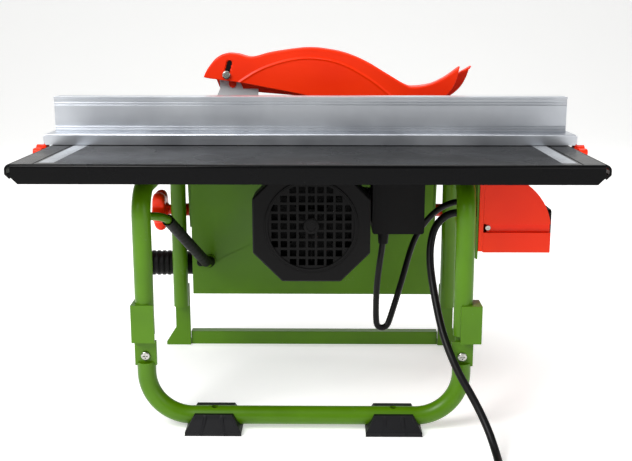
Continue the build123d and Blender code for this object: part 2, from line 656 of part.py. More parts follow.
FAN_SHIELD = (COVER_FRONT_Y + COVER_DEPTH, COVER_FRONT_Y + COVER_DEPTH + SHIELD)
DRIVE_SHIELD = (MOTOR_BACK_Y - SHIELD, MOTOR_BACK_Y)


def through_bolts():
    """Four long bolts that clamp the shields."""
    out = []
    for sx in (-1, 1):
        for sz in (-1, 1):
            x, z = DISC_X + sx * SHIELD_BOLT, AXIS_Z + sz * SHIELD_BOLT
            out.append(pan_screw(x, FAN_SHIELD[0] - 0.02, z, 4.0, 2.4, 2.0, DRIVE_SHIELD[1] - FAN_SHIELD[0] - 0.5))
    return out


def ball_bearing(y0):
    """Sealed bearing drawn as one ring, free on the shaft."""
    return rod_y(DISC_X, AXIS_Z, BEARING_R, y0, y0 + BEARING_WIDTH) - rod_y(
        DISC_X, AXIS_Z, SHAFT_R + RUN_CLEARANCE, y0 - 1, y0 + BEARING_WIDTH + 1)


SLIDE_REAR_X, SLIDE_FRONT_X = -50.0, 56.0
SLIDE_STUDS = (-41.0, 47.0)


def slide_plate():
    """Plate that carries the motor and slides on the panel."""
    y0, y1 = MOTOR_BACK_Y + 0.1, PANEL_NEAR_Y - 0.5
    plate = block(SLIDE_REAR_X, SLIDE_FRONT_X, y0, y1, AXIS_Z - 46, AXIS_Z + 34)
    plate = fillet(plate.edges().filter_by(Axis.Y), 8)
    plate -= rod_y(DISC_X, AXIS_Z, BEARING_R + 4, y0 - 1, y1 + 1)
    nose = rod_y(DISC_X, AXIS_Z, 20, y1 - 0.2, DISC_Y - 16.2) - rod_y(DISC_X, AXIS_Z, 16, y0 - 1, DISC_Y)
    plate += nose
    for x in SLIDE_STUDS:
        plate -= rod_y(x, AXIS_Z, 3.02, y0 - 1, y1 + 1)
    return plate


def slide_studs():
    """Two shouldered studs that hold the slide plate through the panel's upright slots."""
    out = []
    back = PANEL_NEAR_Y + PANEL_SHEET
    for x in SLIDE_STUDS:
        stud = rod_y(x, AXIS_Z, 3.0, MOTOR_BACK_Y + 0.2, back + 5)
        stud += rod_y(x, AXIS_Z, 8.0, back + 0.4, back + 3.0)
        out.append(stud)
    return out


def junction_box():
    """Capacitor and terminal box on the motor's side."""
    near, far = -111.5, -62.0
    x0, x1, z0, z1, wall = 59.7, 108.3, 178.8, 236.0, 2.5
    box = block(x0, x1, near, far, z0, z1)
    box = fillet(box.edges().filter_by(Axis.Y), 2.5)
    box -= block(x0 + wall, x1 - wall, near + wall, far - wall, z0 + wall, z1 - wall)
    saddle = block(MOTOR_R + 1.2, x0 + 1.5, near + 24.5, far - 4, 186, 216)
    return box + (saddle - rod_y(DISC_X, AXIS_Z, MOTOR_R + 0.3, -130, 60))


def run_capacitor():
    """Run capacitor inside the junction box."""
    return fillet(rod_y(84, 209, 17, -107, -67).edges(), 2)


def disc_case(y0, y1, closed_y0):
    """One half of the case under the table: a dish round the disc, open on top."""
    top = TABLE_TOP - 34
    r = DISC_R + 8
    dish = rod_y(DISC_X, AXIS_Z, r, y0, y1)
    inner = (y0 + 2, y1 + 1) if closed_y0 else (y0 - 1, y1 - 2)
    dish -= rod_y(DISC_X, AXIS_Z, r - 2, *inner)
    dish -= block(-200, 200, y0 - 5, y1 + 5, top, top + 200)
    return dish - rod_y(DISC_X, AXIS_Z, 20.5, y0 - 1, DISC_Y - 5)


PORT_Z = 96.5
KNIFE_FOOT = AXIS_Z + 31.5
PORT_Y = POST_Y + TUBE_R + 1.6 + 14.6
PORT_R = 14.6
PORT_BORE = 12.5


def dust_port():
    """Ribbed hose port, pushed on the case's outlet at its rear."""
    x_end, x_in = -192.0, -104.5
    port = rod_x(PORT_Y, PORT_Z, PORT_R - 1.0, x_end, x_in)
    for n in range(6):
        x = x_end + 3.5 + 6.2 * n
        port += rod_x(PORT_Y, PORT_Z, PORT_R, x, x + 3.4)
    port -= rod_x(PORT_Y, PORT_Z, PORT_BORE, x_end - 1, x_in + 1)
    return port


def case_outlet():
    """Duct from the case's lower rear to the port."""
    duct = block(-103.5, -60, DISC_Y - 14.5, PORT_Y + 17, PORT_Z - 17, PORT_Z + 17)
    duct -= block(-101.5, -50, DISC_Y - 12.5, PORT_Y + 15, PORT_Z - 15, PORT_Z + 15)
    duct -= rod_x(PORT_Y, PORT_Z, PORT_R - 1, -110, -90)
    return duct - rod_y(DISC_X, AXIS_Z, DISC_R + 8.1, 0, 200)


# ---- arbor ----
def rotor_shaft():
    """One shaft from the fan to the disc's thread."""
    shaft = rod_y(DISC_X, AXIS_Z, SHAFT_R, COVER_FRONT_Y + 8, DISC_Y + 12)
    shaft += rod_y(DISC_X, AXIS_Z, SHAFT_R + 2, DISC_Y - 12, DISC_Y - 5.0)
    return shaft


def rotor_core():
    """Squirrel-cage rotor pressed on the shaft."""
    y0, y1 = COVER_FRONT_Y + COVER_DEPTH + SHIELD + 24, MOTOR_BACK_Y - SHIELD - 24
    core = rod_y(DISC_X, AXIS_Z, ROTOR_R - 0.3, y0, y1)
    return core - rod_y(DISC_X, AXIS_Z, SHAFT_R, y0 - 1, y1 + 1)


def cooling_fan():
    """Straight-blade fan behind the grille."""
    y0 = COVER_FRONT_Y + 10
    fan = rod_y(DISC_X, AXIS_Z, 14, y0, y0 + 16) + rod_y(DISC_X, AXIS_Z, 38, y0 + 14, y0 + 16)
    blades = []
    for n in range(8):
        blade = Pos(24.5, y0 + 8.5, 0) * Box(23, 13, 1.6)
        blades.append(Pos(DISC_X, 0, AXIS_Z) * Rot(0, 45 * n, 0) * blade)
    return fan + blades - rod_y(DISC_X, AXIS_Z, SHAFT_R, y0 - 1, y0 + 17)


def disc():
    """Diamond disc: a thin core with cooling slots and a thicker continuous rim."""
    core = rod_y(DISC_X, AXIS_Z, DISC_R - 7, DISC_Y - DISC_CORE / 2, DISC_Y + DISC_CORE / 2)
    rim = rod_y(DISC_X, AXIS_Z, DISC_R, DISC_Y - DISC_RIM / 2, DISC_Y + DISC_RIM / 2)
    rim -= rod_y(DISC_X, AXIS_Z, DISC_R - 7.2, DISC_Y - 5, DISC_Y + 5)
    body = core + rim
    for n in range(8):
        hole = Rot(0, 45 * n, 0) * Pos(0, 0, 62) * Rot(90, 0, 0) * Cylinder(5, 10)
        body -= Pos(DISC_X, DISC_Y, AXIS_Z) * hole
    return body - rod_y(DISC_X, AXIS_Z, SHAFT_R, DISC_Y - 5, DISC_Y + 5)


def flange(y0, y1):
    """Clamping flange for the disc."""
    return rod_y(DISC_X, AXIS_Z, 22, y0, y1) - rod_y(DISC_X, AXIS_Z, SHAFT_R, y0 - 1, y1 + 1)


def arbor_nut():
    """Hexagon nut on the shaft's end."""
    nut = Pos(DISC_X, DISC_Y + 7.5, AXIS_Z) * Rot(90, 0, 0) * extrude(RegularPolygon(11, 6), amount=3.4, both=True)
    return nut - rod_y(DISC_X, AXIS_Z, SHAFT_R, DISC_Y, DISC_Y + 20)


# ---- riving knife and guard ----
def riving_knife():
    """Steel knife behind the disc, rising to the guard's screw."""
    px, pz = GUARD_PIVOT_X, GUARD_PIVOT_Z
    outline = [(-60, KNIFE_FOOT), (-121, KNIFE_FOOT), (-121, TABLE_TOP + 8), (px - 9, pz - 16),
               (px - 9, pz + 4), (px - 4, pz + 9), (px + 4, pz + 9), (px + 9, pz + 4), (px + 17, pz - 16),
               (-60, pz - 16)]
    knife = plate_xz(outline, DISC_Y - KNIFE / 2, DISC_Y + KNIFE / 2)
    knife -= rod_y(DISC_X, AXIS_Z, DISC_R + 4, DISC_Y - 10, DISC_Y + 10)
    knife -= rod_y(px, pz, 2.55, DISC_Y - 10, DISC_Y + 10)
    for x in (-114.5, -109.5):
        knife -= rod_y(x, KNIFE_FOOT + 4, 1.7, DISC_Y - 10, DISC_Y + 10)
    return knife


def knife_clamp():
    """Bracket on the near case half with an arm that grips the knife's foot."""
    y0, y1 = DISC_Y - 18.4, DISC_Y - KNIFE / 2
    arm = block(-119.5, -105.5, y0, y1, KNIFE_FOOT + 0.5, KNIFE_FOOT + 8)
    arm += block(-119.5, -82, y0, DISC_Y - 16.0, KNIFE_FOOT - 30, KNIFE_FOOT + 8)
    for x in (-114.5, -109.5):
        arm -= rod_y(x, KNIFE_FOOT + 4, 1.65, y1 - 9, y1 + 1)
    return arm


def knife_screws():
    """Two screws through the knife into its clamp."""
    return [pan_screw(x, DISC_Y + KNIFE / 2 + 0.05, KNIFE_FOOT + 4, 2.3, 1.8, 1.6, 8.0, (-90, 0, 0))
            for x in (-114.5, -109.5)]


GUARD_TOP = [(-119.4, 59.5), (-113.5, 71.0), (-105.1, 82.0), (-94.5, 86.5), (-81.8, 85.0), (-66.0, 81.3),
             (-43.8, 87.1), (-6.0, 92.0), (19.4, 90.1), (40.4, 85.3), (61.9, 76.1), (83.0, 63.7),
             (104.1, 50.0), (114.3, 48.8), (129.5, 51.9), (146.4, 59.5), (163.3, 71.3)]
GUARD_LOW = [(161.0, 52.0), (150.0, 35.0), (128.0, 27.0), (60.0, 27.0), (-16.0, 41.6), (-82.2, 54.0)]


def guard_outline(points, drop=0.0):
    """The guard's side outline, at a height above the table."""
    return [(x, TABLE_TOP + h - drop) for x, h in points]


def guard_shell(side):
    """One half of the guard: a side wall and half of the roof, joined on the disc's plane."""
    outer, seam = DISC_Y + side * GUARD_HALF, DISC_Y + side * 0.1
    shift = 15.0 if side > 0 else 0.0
    tail = [(x + shift * max(0.0, (x - 120) / 43.3), h) for x, h in GUARD_TOP]
    low = [(x + shift * max(0.0, (x - 120) / 43.3), h) for x, h in GUARD_LOW]
    outline = guard_outline(tail + low)
    y0, y1 = min(outer, seam), max(outer, seam)
    shell = plate_xz(outline, y0, y1)
    wall = GUARD_WALL
    face = make_face(Polyline([(x, 0, z) for x, z in outline], close=True))
    inner = offset(face, amount=-wall, kind=Kind.INTERSECTION)
    c0, c1 = (y0 + wall, y1 + 1) if side < 0 else (y0 - 1, y1 - wall)
    hollow = Pos(0, c0, 0) * extrude(inner, amount=c1 - c0, dir=(0, 1, 0))
    below = [(x, z + 6) for x, z in guard_outline(low)]
    mouth = [(-117, TABLE_TOP + 64)] + below[::-1][:-1]
    mouth += [(140, TABLE_TOP - 20), (-117, TABLE_TOP - 20)]
    hollow += plate_xz(mouth, c0, c1)
    shell -= hollow
    return shell - rod_y(GUARD_PIVOT_X, GUARD_PIVOT_Z, 2.55, outer - 5, outer + 5)


def guard_screw():
    """Pivot screw through both shells and the knife, with its wing nut."""
    near, far = DISC_Y - GUARD_HALF, DISC_Y + GUARD_HALF
    screw = pan_screw(GUARD_PIVOT_X, near - 0.05, GUARD_PIVOT_Z, 4.6, 3.0, 2.5, far - near + 10)
    return screw


def guard_wing_nut():
    """Wing nut on the guard's far side."""
    y0 = DISC_Y + GUARD_HALF + 0.05
    nut = rod_y(GUARD_PIVOT_X, GUARD_PIVOT_Z, 5, y0, y0 + 5)
    nut += block(GUARD_PIVOT_X - 12, GUARD_PIVOT_X + 12, y0 + 2, y0 + 9, GUARD_PIVOT_Z - 1.2, GUARD_PIVOT_Z + 1.2)
    return nut - rod_y(GUARD_PIVOT_X, GUARD_PIVOT_Z, 2.51, y0 - 1, y0 + 12)


# ---- fence ----
def fence_base():
    """Low hollow aluminium section that slides across the table."""
    z0, z1 = TABLE_TOP + FENCE_GAP, TABLE_TOP + FENCE_LOW
    x = FENCE_BASE / 2
    base = block(-x, x, FENCE_Y, FENCE_Y + FENCE_DEPTH, z0, z1)
    base = fillet(base.edges().filter_by(Axis.X).group_by(Axis.Z)[-1].sort_by(Axis.Y)[0], 1.0)
    for y0, y1 in ((FENCE_Y + 2, FENCE_Y + 21), (FENCE_Y + 23, FENCE_Y + FENCE_DEPTH - 2)):
        base -= block(-x - 1, x + 1, y0, y1, z0 + 1.6, z1 - 1.6)
    return base


def fence_rail():
    """Tall hollow section of the fence, with shallow grooves along its near face."""
    z0, z1 = TABLE_TOP + FENCE_LOW + 0.02, TABLE_TOP + FENCE_HIGH
    x, y0, y1 = FENCE_RAIL / 2, FENCE_Y + FENCE_STEP, FENCE_Y + FENCE_DEPTH
    rail = block(-x, x, y0, y1, z0, z1)
    rail -= block(-x - 1, x + 1, y0 + FENCE_WALL, y1 - FENCE_WALL, z0 + FENCE_WALL, z0 + 16)
    rail -= block(-x - 1, x + 1, y0 + FENCE_WALL, y1 - FENCE_WALL, z0 + 18, z1 - FENCE_WALL)
    rail += block(-x, x, y0 - 1.6, y0 + 0.5, z1 - 2.2, z1)
    for z in (z0 + 2.5, z0 + 5, z1 - 6, z1 - 8.5):
        rail -= block(-x - 1, x + 1, y0 - 0.1, y0 + 0.35, z, z + 0.8)
    return rail


CLAMP_Y = FENCE_Y + 9.0
CLAMP_Z = TABLE_TOP - 5.0
CLAMP_OUT = 2.5


def fence_clamp(side):
    """Clamp plugged in the fence's hollow end, with a leg that hooks under the table's nose."""
    end, out = side * FENCE_BASE / 2, side * (FENCE_BASE / 2 + CLAMP_OUT)
    y0, y1 = CLAMP_Y - 6, CLAMP_Y + 6
    z0, z1 = TABLE_TOP + FENCE_GAP + 1.62, TABLE_TOP + FENCE_LOW - 1.62
    hook_z = TABLE_TOP - NOSE_DROP - 4.5
    body = block(end - side * 8, out, y0, y1, z0, z1)
    body += block(end + side * 0.2, out, y0, y1, hook_z, z1)
    body += block(side * (HALF_X - 1.5), out, y0, y1, hook_z, hook_z + 3.5)
    return body - rod_x(CLAMP_Y, CLAMP_Z, 1.55, end, out + side)


def clamp_lever(side):
    """Small cam lever that turns on a pin at the clamp's outer face."""
    inner = side * (FENCE_BASE / 2 + CLAMP_OUT + 0.2)
    outer = side * (FENCE_BASE / 2 + CLAMP_OUT + 8.0)
    lever = rod_x(CLAMP_Y, CLAMP_Z, 5.0, inner, outer)
    lever += block(inner, outer, CLAMP_Y - 13, CLAMP_Y, CLAMP_Z - 4.0, CLAMP_Z + 2.5)
    lever = lever + rod_x(CLAMP_Y - 13, CLAMP_Z - 0.75, 3.25, inner, outer)
    return lever + rod_x(CLAMP_Y, CLAMP_Z, 1.5, side * (FENCE_BASE / 2 + 0.3), inner)


# ---- switch box ----
def box_outline(shrink=0.0):
    """The housing's side outline in X and Z: square inside, one wide curve at the operator's upper corner."""
    x0, x1, z0, z1 = BOX_INNER_X + 4.4, BOX_OUTER_X, BOX_BOTTOM, BOX_TOP
    pts = [(x0 + shrink, z0 + shrink), (x1 - shrink, z0 + shrink)]
    for n in range(16):
        a = radians(6 * n)
        pts.append((x1 - BOX_ROUND_X + (BOX_ROUND_X - shrink) * cos(a),
                    z1 - BOX_ROUND_Z + (BOX_ROUND_Z - shrink) * sin(a)))
    return pts + [(x0 + shrink, z1 - shrink)]


SWITCH_Y = -64.0
SWITCH_Z = 184.0


def switch_housing():
    """Moulded housing with a groove along its side and an opening for the switch."""
    housing = plate_xz(box_outline(), BOX_NEAR_Y, BOX_FAR_Y)
    housing -= plate_xz(box_outline(BOX_WALL), BOX_NEAR_Y + BOX_WALL, BOX_FAR_Y - BOX_WALL)
    housing -= block(BOX_INNER_X + 4, BOX_INNER_X + 7, BOX_NEAR_Y + 3, BOX_FAR_Y - 3, BOX_BOTTOM + 3, BOX_TOP - 3)
    housing += block(BOX_INNER_X + 8, BOX_OUTER_X - 1.5, BOX_NEAR_Y + 1, BOX_NEAR_Y + GROOVE_DEPTH + 2.4,
                     GROOVE_LOW - 2, GROOVE_HIGH + 2)
    housing -= block(BOX_INNER_X + 4, BOX_OUTER_X + 1, BOX_NEAR_Y - 1, BOX_NEAR_Y + GROOVE_DEPTH,
                     GROOVE_LOW, GROOVE_HIGH)
    housing -= block(BOX_OUTER_X - 5, BOX_OUTER_X + 2, SWITCH_Y - 22, SWITCH_Y + 22, SWITCH_Z - 11, SWITCH_Z + 11)
    return housing - rod_y(BOX_INNER_X + 9.0, 182.4, 1.45, BOX_NEAR_Y, BOX_NEAR_Y + 12)


def switch_back():
    """Flat back half that closes the housing against its bracket."""
    plate = block(BOX_INNER_X, BOX_INNER_X + 4.3, BOX_NEAR_Y, BOX_FAR_Y, BOX_BOTTOM + 1, BOX_TOP)
    return plate - rod_x(CORD_Y, CORD_Z, 5.0, 100, 200) - rod_x(LEAD_Y, LEAD_Z, 4.3, 100, 200)


def switch_bracket():
    """Steel angle under the table that carries the switch box."""
    top = TABLE_TOP - TABLE_SHEET
    plate = block(159.0, BOX_INNER_X - 0.02, BOX_NEAR_Y + 1, BOX_FAR_Y - 1, BOX_BOTTOM - 7, top)
    plate += block(159.0, 182, BOX_NEAR_Y + 1, BOX_FAR_Y - 1, top - 2.5, top)
    return plate - rod_x(CORD_Y, CORD_Z, 5.0, 100, 200) - rod_x(LEAD_Y, LEAD_Z, 4.3, 100, 200)


def switch_frame():
    """Switch body clipped in the housing, with a raised rim."""
    x = BOX_OUTER_X
    frame = block(x, x + 3, SWITCH_Y - 25, SWITCH_Y + 25, SWITCH_Z - 14, SWITCH_Z + 14)
    frame = fillet(frame.edges().filter_by(Axis.X), 3)
    frame += block(x - 22, x + 0.5, SWITCH_Y - 21.6, SWITCH_Y + 21.6, SWITCH_Z - 10.6, SWITCH_Z + 10.6)
    for y in (SWITCH_Y - 11, SWITCH_Y + 11):
        frame -= block(x - 8, x + 4, y - 9.2, y + 9.2, SWITCH_Z - 8.7, SWITCH_Z + 8.7)
    return frame


def switch_button(y):
    """One push button with a softly rounded face."""
    x = BOX_OUTER_X
    button = block(x - 4, x + 3.6, y - 8.6, y + 8.6, SWITCH_Z - 8.1, SWITCH_Z + 8.1)
    return fillet(button.faces().sort_by(Axis.X)[-1].edges(), 1.2)


def housing_screw():
    """Screw in the housing's groove."""
    return pan_screw(BOX_INNER_X + 9.0, BOX_NEAR_Y + GROOVE_DEPTH - 0.05, 182.4, 2.8, 1.8, 1.4, 6.0)


# ---- cords ----
LEAD_Y = -84.0
LEAD_Z = 206.0
CORD_Y = -94.0
CORD_Z = 197.0
LEAD_EXIT = (71.25, -92.0, 172.8)


def gland_x(y, z, r_cord, r_out, x_wall):
    """Tapered strain relief that comes out of the bracket towards -X."""
    cone = Pos(x_wall - 7, y, z) * Rot(0, -90, 0) * Cone(r_out, r_cord + 1.0, 14)
    collar = rod_x(y, z, r_out, x_wall, x_wall + 5)
    return cone + collar - rod_x(y, z, r_cord + 0.2, x_wall - 40, x_wall + 20)


def lead_gland():
    """Tapered strain relief under the junction box."""
    x, y, z = LEAD_EXIT
    cone = Pos(x, y, z - 1) * Rot(180, 0, 0) * Cone(5.6, LEAD_R + 1.6, 12)
    return cone - rod_z(x, y, LEAD_R + 0.7, z - 30, z + 30)


LEAD_ROUTE = [(71.3, -92, 178.3), (71.1, -92, 167), (68.5, -91.5, 148), (66, -91, 127), (65.3, -90, 108),
              (65.4, -88.5, 92), (66.6, -87, 79.5), (76.4, -85.5, 79), (80.7, -82.5, 91), (85, -79, 104),
              (89.5, -75, 118), (94, -70, 132), (98.5, -64, 147), (103.5, -58, 160), (110, -54.5, 172),
              (118, -57, 183.5), (127, -65, 194.5), (137, -78, 203), (149, LEAD_Y, LEAD_Z),
              (163, LEAD_Y, LEAD_Z)]
MAINS_ROUTE = [(163, CORD_Y, CORD_Z), (148, CORD_Y, CORD_Z), (132, -95, 195.5), (120, -97, 184.5),
               (115.5, -101, 167), (115, -107, 150), (117, -115, 132), (120, -127, 113), (123.5, -143, 95),
               (129, -158, 79), (137, -170, 62), (146, -179, 48), (154, -189, 34), (160.5, -202, 20),
               (164, -217, 8.5), (164.5, -234, 3.9), (159, -250, 3.65), (148, -263, 3.6), (134, -274, 3.6),
               (120, -279.5, 3.6)]
COIL_MEAN = 40.0
COIL_CENTRE = (112.0, -319.5)
PLUG_AT = (18.0, -282.0)
PLUG_Z = 9.2


def mains_coil():
    """Outer shape of the stored coil: a thick ring lying on the floor."""
    x, y = COIL_CENTRE
    d = 2 * MAINS_R
    ring = Cylinder(COIL_MEAN + d, 3 * d, align=(Align.CENTER, Align.CENTER, Align.MIN))
    ring -= Pos(0, 0, -1) * Cylinder(COIL_MEAN - d, 4 * d, align=(Align.CENTER, Align.CENTER, Align.MIN))
    coil = Pos(x, y, 0) * fillet(ring.edges(), MAINS_R * 0.8)
    plug_x, plug_y = PLUG_AT
    lead_in = rod_x(plug_y, PLUG_Z, MAINS_R, plug_x + 41, x - 28)
    return coil + lead_in


def mains_plug():
    """Two-pin mains plug that lies on the floor beside the coil, with a tapered neck."""
    x, y = PLUG_AT
    body = Pos(x, y, PLUG_Z) * Rot(0, 90, 0) * extrude(Ellipse(9, 17), amount=16, both=True)
    body = fillet(body.edges(), 3.0)
    neck = Pos(x + 28, y, PLUG_Z) * Rot(0, 90, 0) * Cone(8, MAINS_R + 1.2, 26)
    plug = body + neck - rod_x(y, PLUG_Z, MAINS_R, x + 20, x + 60)
    for dy in (-9.5, 9.5):
        plug += rod_x(y + dy, PLUG_Z, 2.4, x - 35, x - 12)
    return plug


def main():
    """Write every node."""
    rear_foot = STAND_SHIFT - FOOT_SPACING / 2
    front_foot = STAND_SHIFT + FOOT_SPACING / 2
    save("table_top", table_top())
    save("throat_insert", throat_insert())
    save("insert_screws", *insert_screws())
    save("table_scales", *table_scales())
    save("rear_leg_tube", leg_tube(REAR_LEG_X, POST_REAR_X))
    save("front_leg_tube", leg_tube(FRONT_LEG_X, POST_FRONT_X))
    save("stand_tube", stand_tube())
    save("leg_brackets", *leg_brackets(), *bracket_tongues())
    save("rubber_feet", rubber_foot(rear_foot), rubber_foot(front_foot))
    save("post_feet", far_foot(POST_REAR_X, -1), far_foot(POST_FRONT_X, 1))
    save("frame_screws", *bracket_screws(), *far_foot_screws(), housing_screw())
    save("far_crossbar", far_crossbar())
    save("table_straps", *table_straps())
    save("end_plates", end_plate(END_PLATE_REAR - END_PLATE, END_PLATE_REAR),
         end_plate(END_PLATE_FRONT, END_PLATE_FRONT + END_PLATE))
    save("motor_panel", motor_panel())
    save("tilt_bolts", *lock_bolts(), *guide_studs())
    save("rear_lock_knob", lock_knob(-1, EAR_REAR))
    save("front_lock_knob", lock_knob(1, EAR_FRONT))
    save("lever_rod", lever_rod())
    save("lever_sleeve", lever_sleeve())
    save("fan_cover", fan_cover())
    save("motor_body", motor_body())
    save("stator_core", stator_core())
    save("end_shields", end_shield(*FAN_SHIELD, True), end_shield(*DRIVE_SHIELD, False))
    save("through_bolts", *through_bolts())
    save("motor_bearings", ball_bearing(FAN_SHIELD[0] + 2.01),
         ball_bearing(DRIVE_SHIELD[1] - 2.01 - BEARING_WIDTH))
    save("slide_plate", slide_plate())
    save("carriage_screws", *slide_studs(), *knife_screws())
    save("junction_box", junction_box(), lead_gland())
    save("run_capacitor", run_capacitor())
    save("near_disc_case", disc_case(DISC_Y - 16, DISC_Y - 0.1, True))
    save("far_disc_case", disc_case(DISC_Y + 0.1, DISC_Y + 16, False))
    save("case_outlet", case_outlet())
    save("dust_port", dust_port())
    save("rotor_shaft", rotor_shaft())
    save("rotor_core", rotor_core())
    save("cooling_fan", cooling_fan())
    save("diamond_disc", disc())
    save("disc_flanges", flange(DISC_Y - 5, DISC_Y - 1.0), flange(DISC_Y + 1.0, DISC_Y + 4))
    save("arbor_nut", arbor_nut())
    save("riving_knife", riving_knife())
    save("knife_clamp", knife_clamp())
    save("near_guard_shell", guard_shell(-1))
    save("far_guard_shell", guard_shell(1))
    save("guard_screw", guard_screw(), guard_wing_nut())
    save("fence_base", fence_base())
    save("fence_rail", fence_rail())
    save("fence_clamps", fence_clamp(-1), fence_clamp(1))
    save("rear_clamp_lever", clamp_lever(-1))
    save("front_clamp_lever", clamp_lever(1))
    save("switch_housing", switch_housing(), switch_back())
    save("switch_bracket", switch_bracket())
    save("switch_frame", switch_frame())
    save("start_button", switch_button(SWITCH_Y - 11))
    save("stop_button", switch_button(SWITCH_Y + 11))
    save("cord_glands", gland_x(LEAD_Y, LEAD_Z, LEAD_R, 4.3, 159.0),
         gland_x(CORD_Y, CORD_Z, MAINS_R, 5.0, 159.0))
    save("motor_lead", cord_tube("motor_lead", LEAD_ROUTE, LEAD_R))
    save("mains_cord", cord_tube("mains_cord", MAINS_ROUTE, MAINS_R))
    save("mains_coil", mains_coil())
    save("mains_plug", mains_plug())


main()
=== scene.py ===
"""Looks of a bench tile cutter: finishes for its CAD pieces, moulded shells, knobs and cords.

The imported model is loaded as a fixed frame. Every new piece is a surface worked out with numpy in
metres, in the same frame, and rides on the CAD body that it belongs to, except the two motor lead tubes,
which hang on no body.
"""

import logging
import math
from dataclasses import dataclass, field
from enum import Enum

import bmesh
import bpy
import numpy as np
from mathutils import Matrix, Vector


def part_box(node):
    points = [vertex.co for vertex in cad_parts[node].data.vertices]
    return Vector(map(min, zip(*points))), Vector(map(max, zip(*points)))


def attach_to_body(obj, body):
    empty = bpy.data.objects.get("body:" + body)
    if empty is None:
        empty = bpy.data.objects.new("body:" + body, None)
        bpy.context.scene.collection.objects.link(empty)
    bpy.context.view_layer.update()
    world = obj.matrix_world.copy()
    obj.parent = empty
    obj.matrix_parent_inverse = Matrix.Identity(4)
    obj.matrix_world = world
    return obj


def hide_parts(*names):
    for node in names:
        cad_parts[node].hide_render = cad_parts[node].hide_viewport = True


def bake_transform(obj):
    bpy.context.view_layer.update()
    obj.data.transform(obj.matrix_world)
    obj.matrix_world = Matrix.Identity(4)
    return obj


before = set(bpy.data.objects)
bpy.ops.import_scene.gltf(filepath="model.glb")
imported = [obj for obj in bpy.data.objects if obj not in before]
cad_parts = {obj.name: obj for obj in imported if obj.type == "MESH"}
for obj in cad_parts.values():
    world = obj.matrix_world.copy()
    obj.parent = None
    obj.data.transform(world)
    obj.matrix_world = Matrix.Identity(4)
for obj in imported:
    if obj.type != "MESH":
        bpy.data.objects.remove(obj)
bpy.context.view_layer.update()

logging.basicConfig(level=logging.INFO, format="%(name)s: %(message)s")
LOG = logging.getLogger("tile_cutter")

MM = 0.001
TAU = 2.0 * math.pi

# Sockets of a colour mix node, which have no names of their own: first colour, second colour, result.
FIRST, SECOND, MIXED = 6, 7, 2


# ---------------------------------------------------------------- colour and nodes
def linear(hex_colour: str) -> tuple[float, float, float, float]:
    """Turn an sRGB hex colour into linear light.

    Args:
        hex_colour: Six hex digits, such as "6E9E0A".

    Returns:
        Red, green, blue and alpha in linear light.
    """
    parts = [int(hex_colour[i:i + 2], 16) / 255.0 for i in (0, 2, 4)]
    return (*[c / 12.92 if c <= 0.04045 else ((c + 0.055) / 1.055) ** 2.4 for c in parts], 1.0)


def add_node(tree: bpy.types.NodeTree, kind: str, settings: dict | None = None,
             links: dict | None = None, **values: object) -> bpy.types.Node:
    """Add one shader node with its settings, socket values and incoming links.

    Args:
        tree: The node tree.
        kind: The node's type name.
        settings: Properties of the node.
        links: Input socket name or number to the output socket that feeds it.
        values: Input socket values, with spaces in names written as underscores.

    Returns:
        The new node.
    """
    node = tree.nodes.new(kind)
    for name, value in (settings or {}).items():
        setattr(node, name, value)
    for name, value in values.items():
        node.inputs[name.replace("_", " ")].default_value = value
    for name, source in (links or {}).items():
        tree.links.new(source, node.inputs[name])
    return node


def ramp(tree: bpy.types.NodeTree, source: bpy.types.NodeSocket,
         stops: list[tuple[float, tuple[float, float, float, float]]]) -> bpy.types.NodeSocket:
    """Colour a value through stops given as (place, colour).

    Args:
        tree: The node tree.
        source: The value's socket.
        stops: Places from 0 to 1 with their colours.

    Returns:
        The colour's socket.
    """
    node = add_node(tree, "ShaderNodeValToRGB", links={0: source})
    elements = node.color_ramp.elements
    while len(elements) < len(stops):
        elements.new(0.5)
    for element, (place, colour) in zip(elements, stops):
        element.position = place
        element.color = colour
    return node.outputs["Color"]


class Grain(Enum):
    """How a surface was made, which sets the shape of its fine relief."""

    ORANGE_PEEL = (1.6, 0.10, (1.0, 1.0, 1.0))
    SPARK_ERODED = (0.7, 0.16, (1.0, 1.0, 1.0))
    POLISHED_MOULD = (3.0, 0.03, (1.0, 1.0, 1.0))
    BRUSHED_ALONG_X = (1.1, 0.07, (0.004, 1.0, 1.0))
    GROUND = (0.6, 0.08, (1.0, 1.0, 0.06))
    SAND_CAST = (1.1, 0.30, (1.0, 1.0, 1.0))
    PRINTED_FLAT = (0.4, 0.02, (1.0, 1.0, 1.0))

    @property
    def size_mm(self) -> float:
        """The relief's grain size in millimetres."""
        return self.value[0]

    @property
    def depth(self) -> float:
        """The bump's strength."""
        return self.value[1]

    @property
    def stretch(self) -> tuple[float, float, float]:
        """How far the grain is drawn out along each axis: less means longer."""
        return self.value[2]


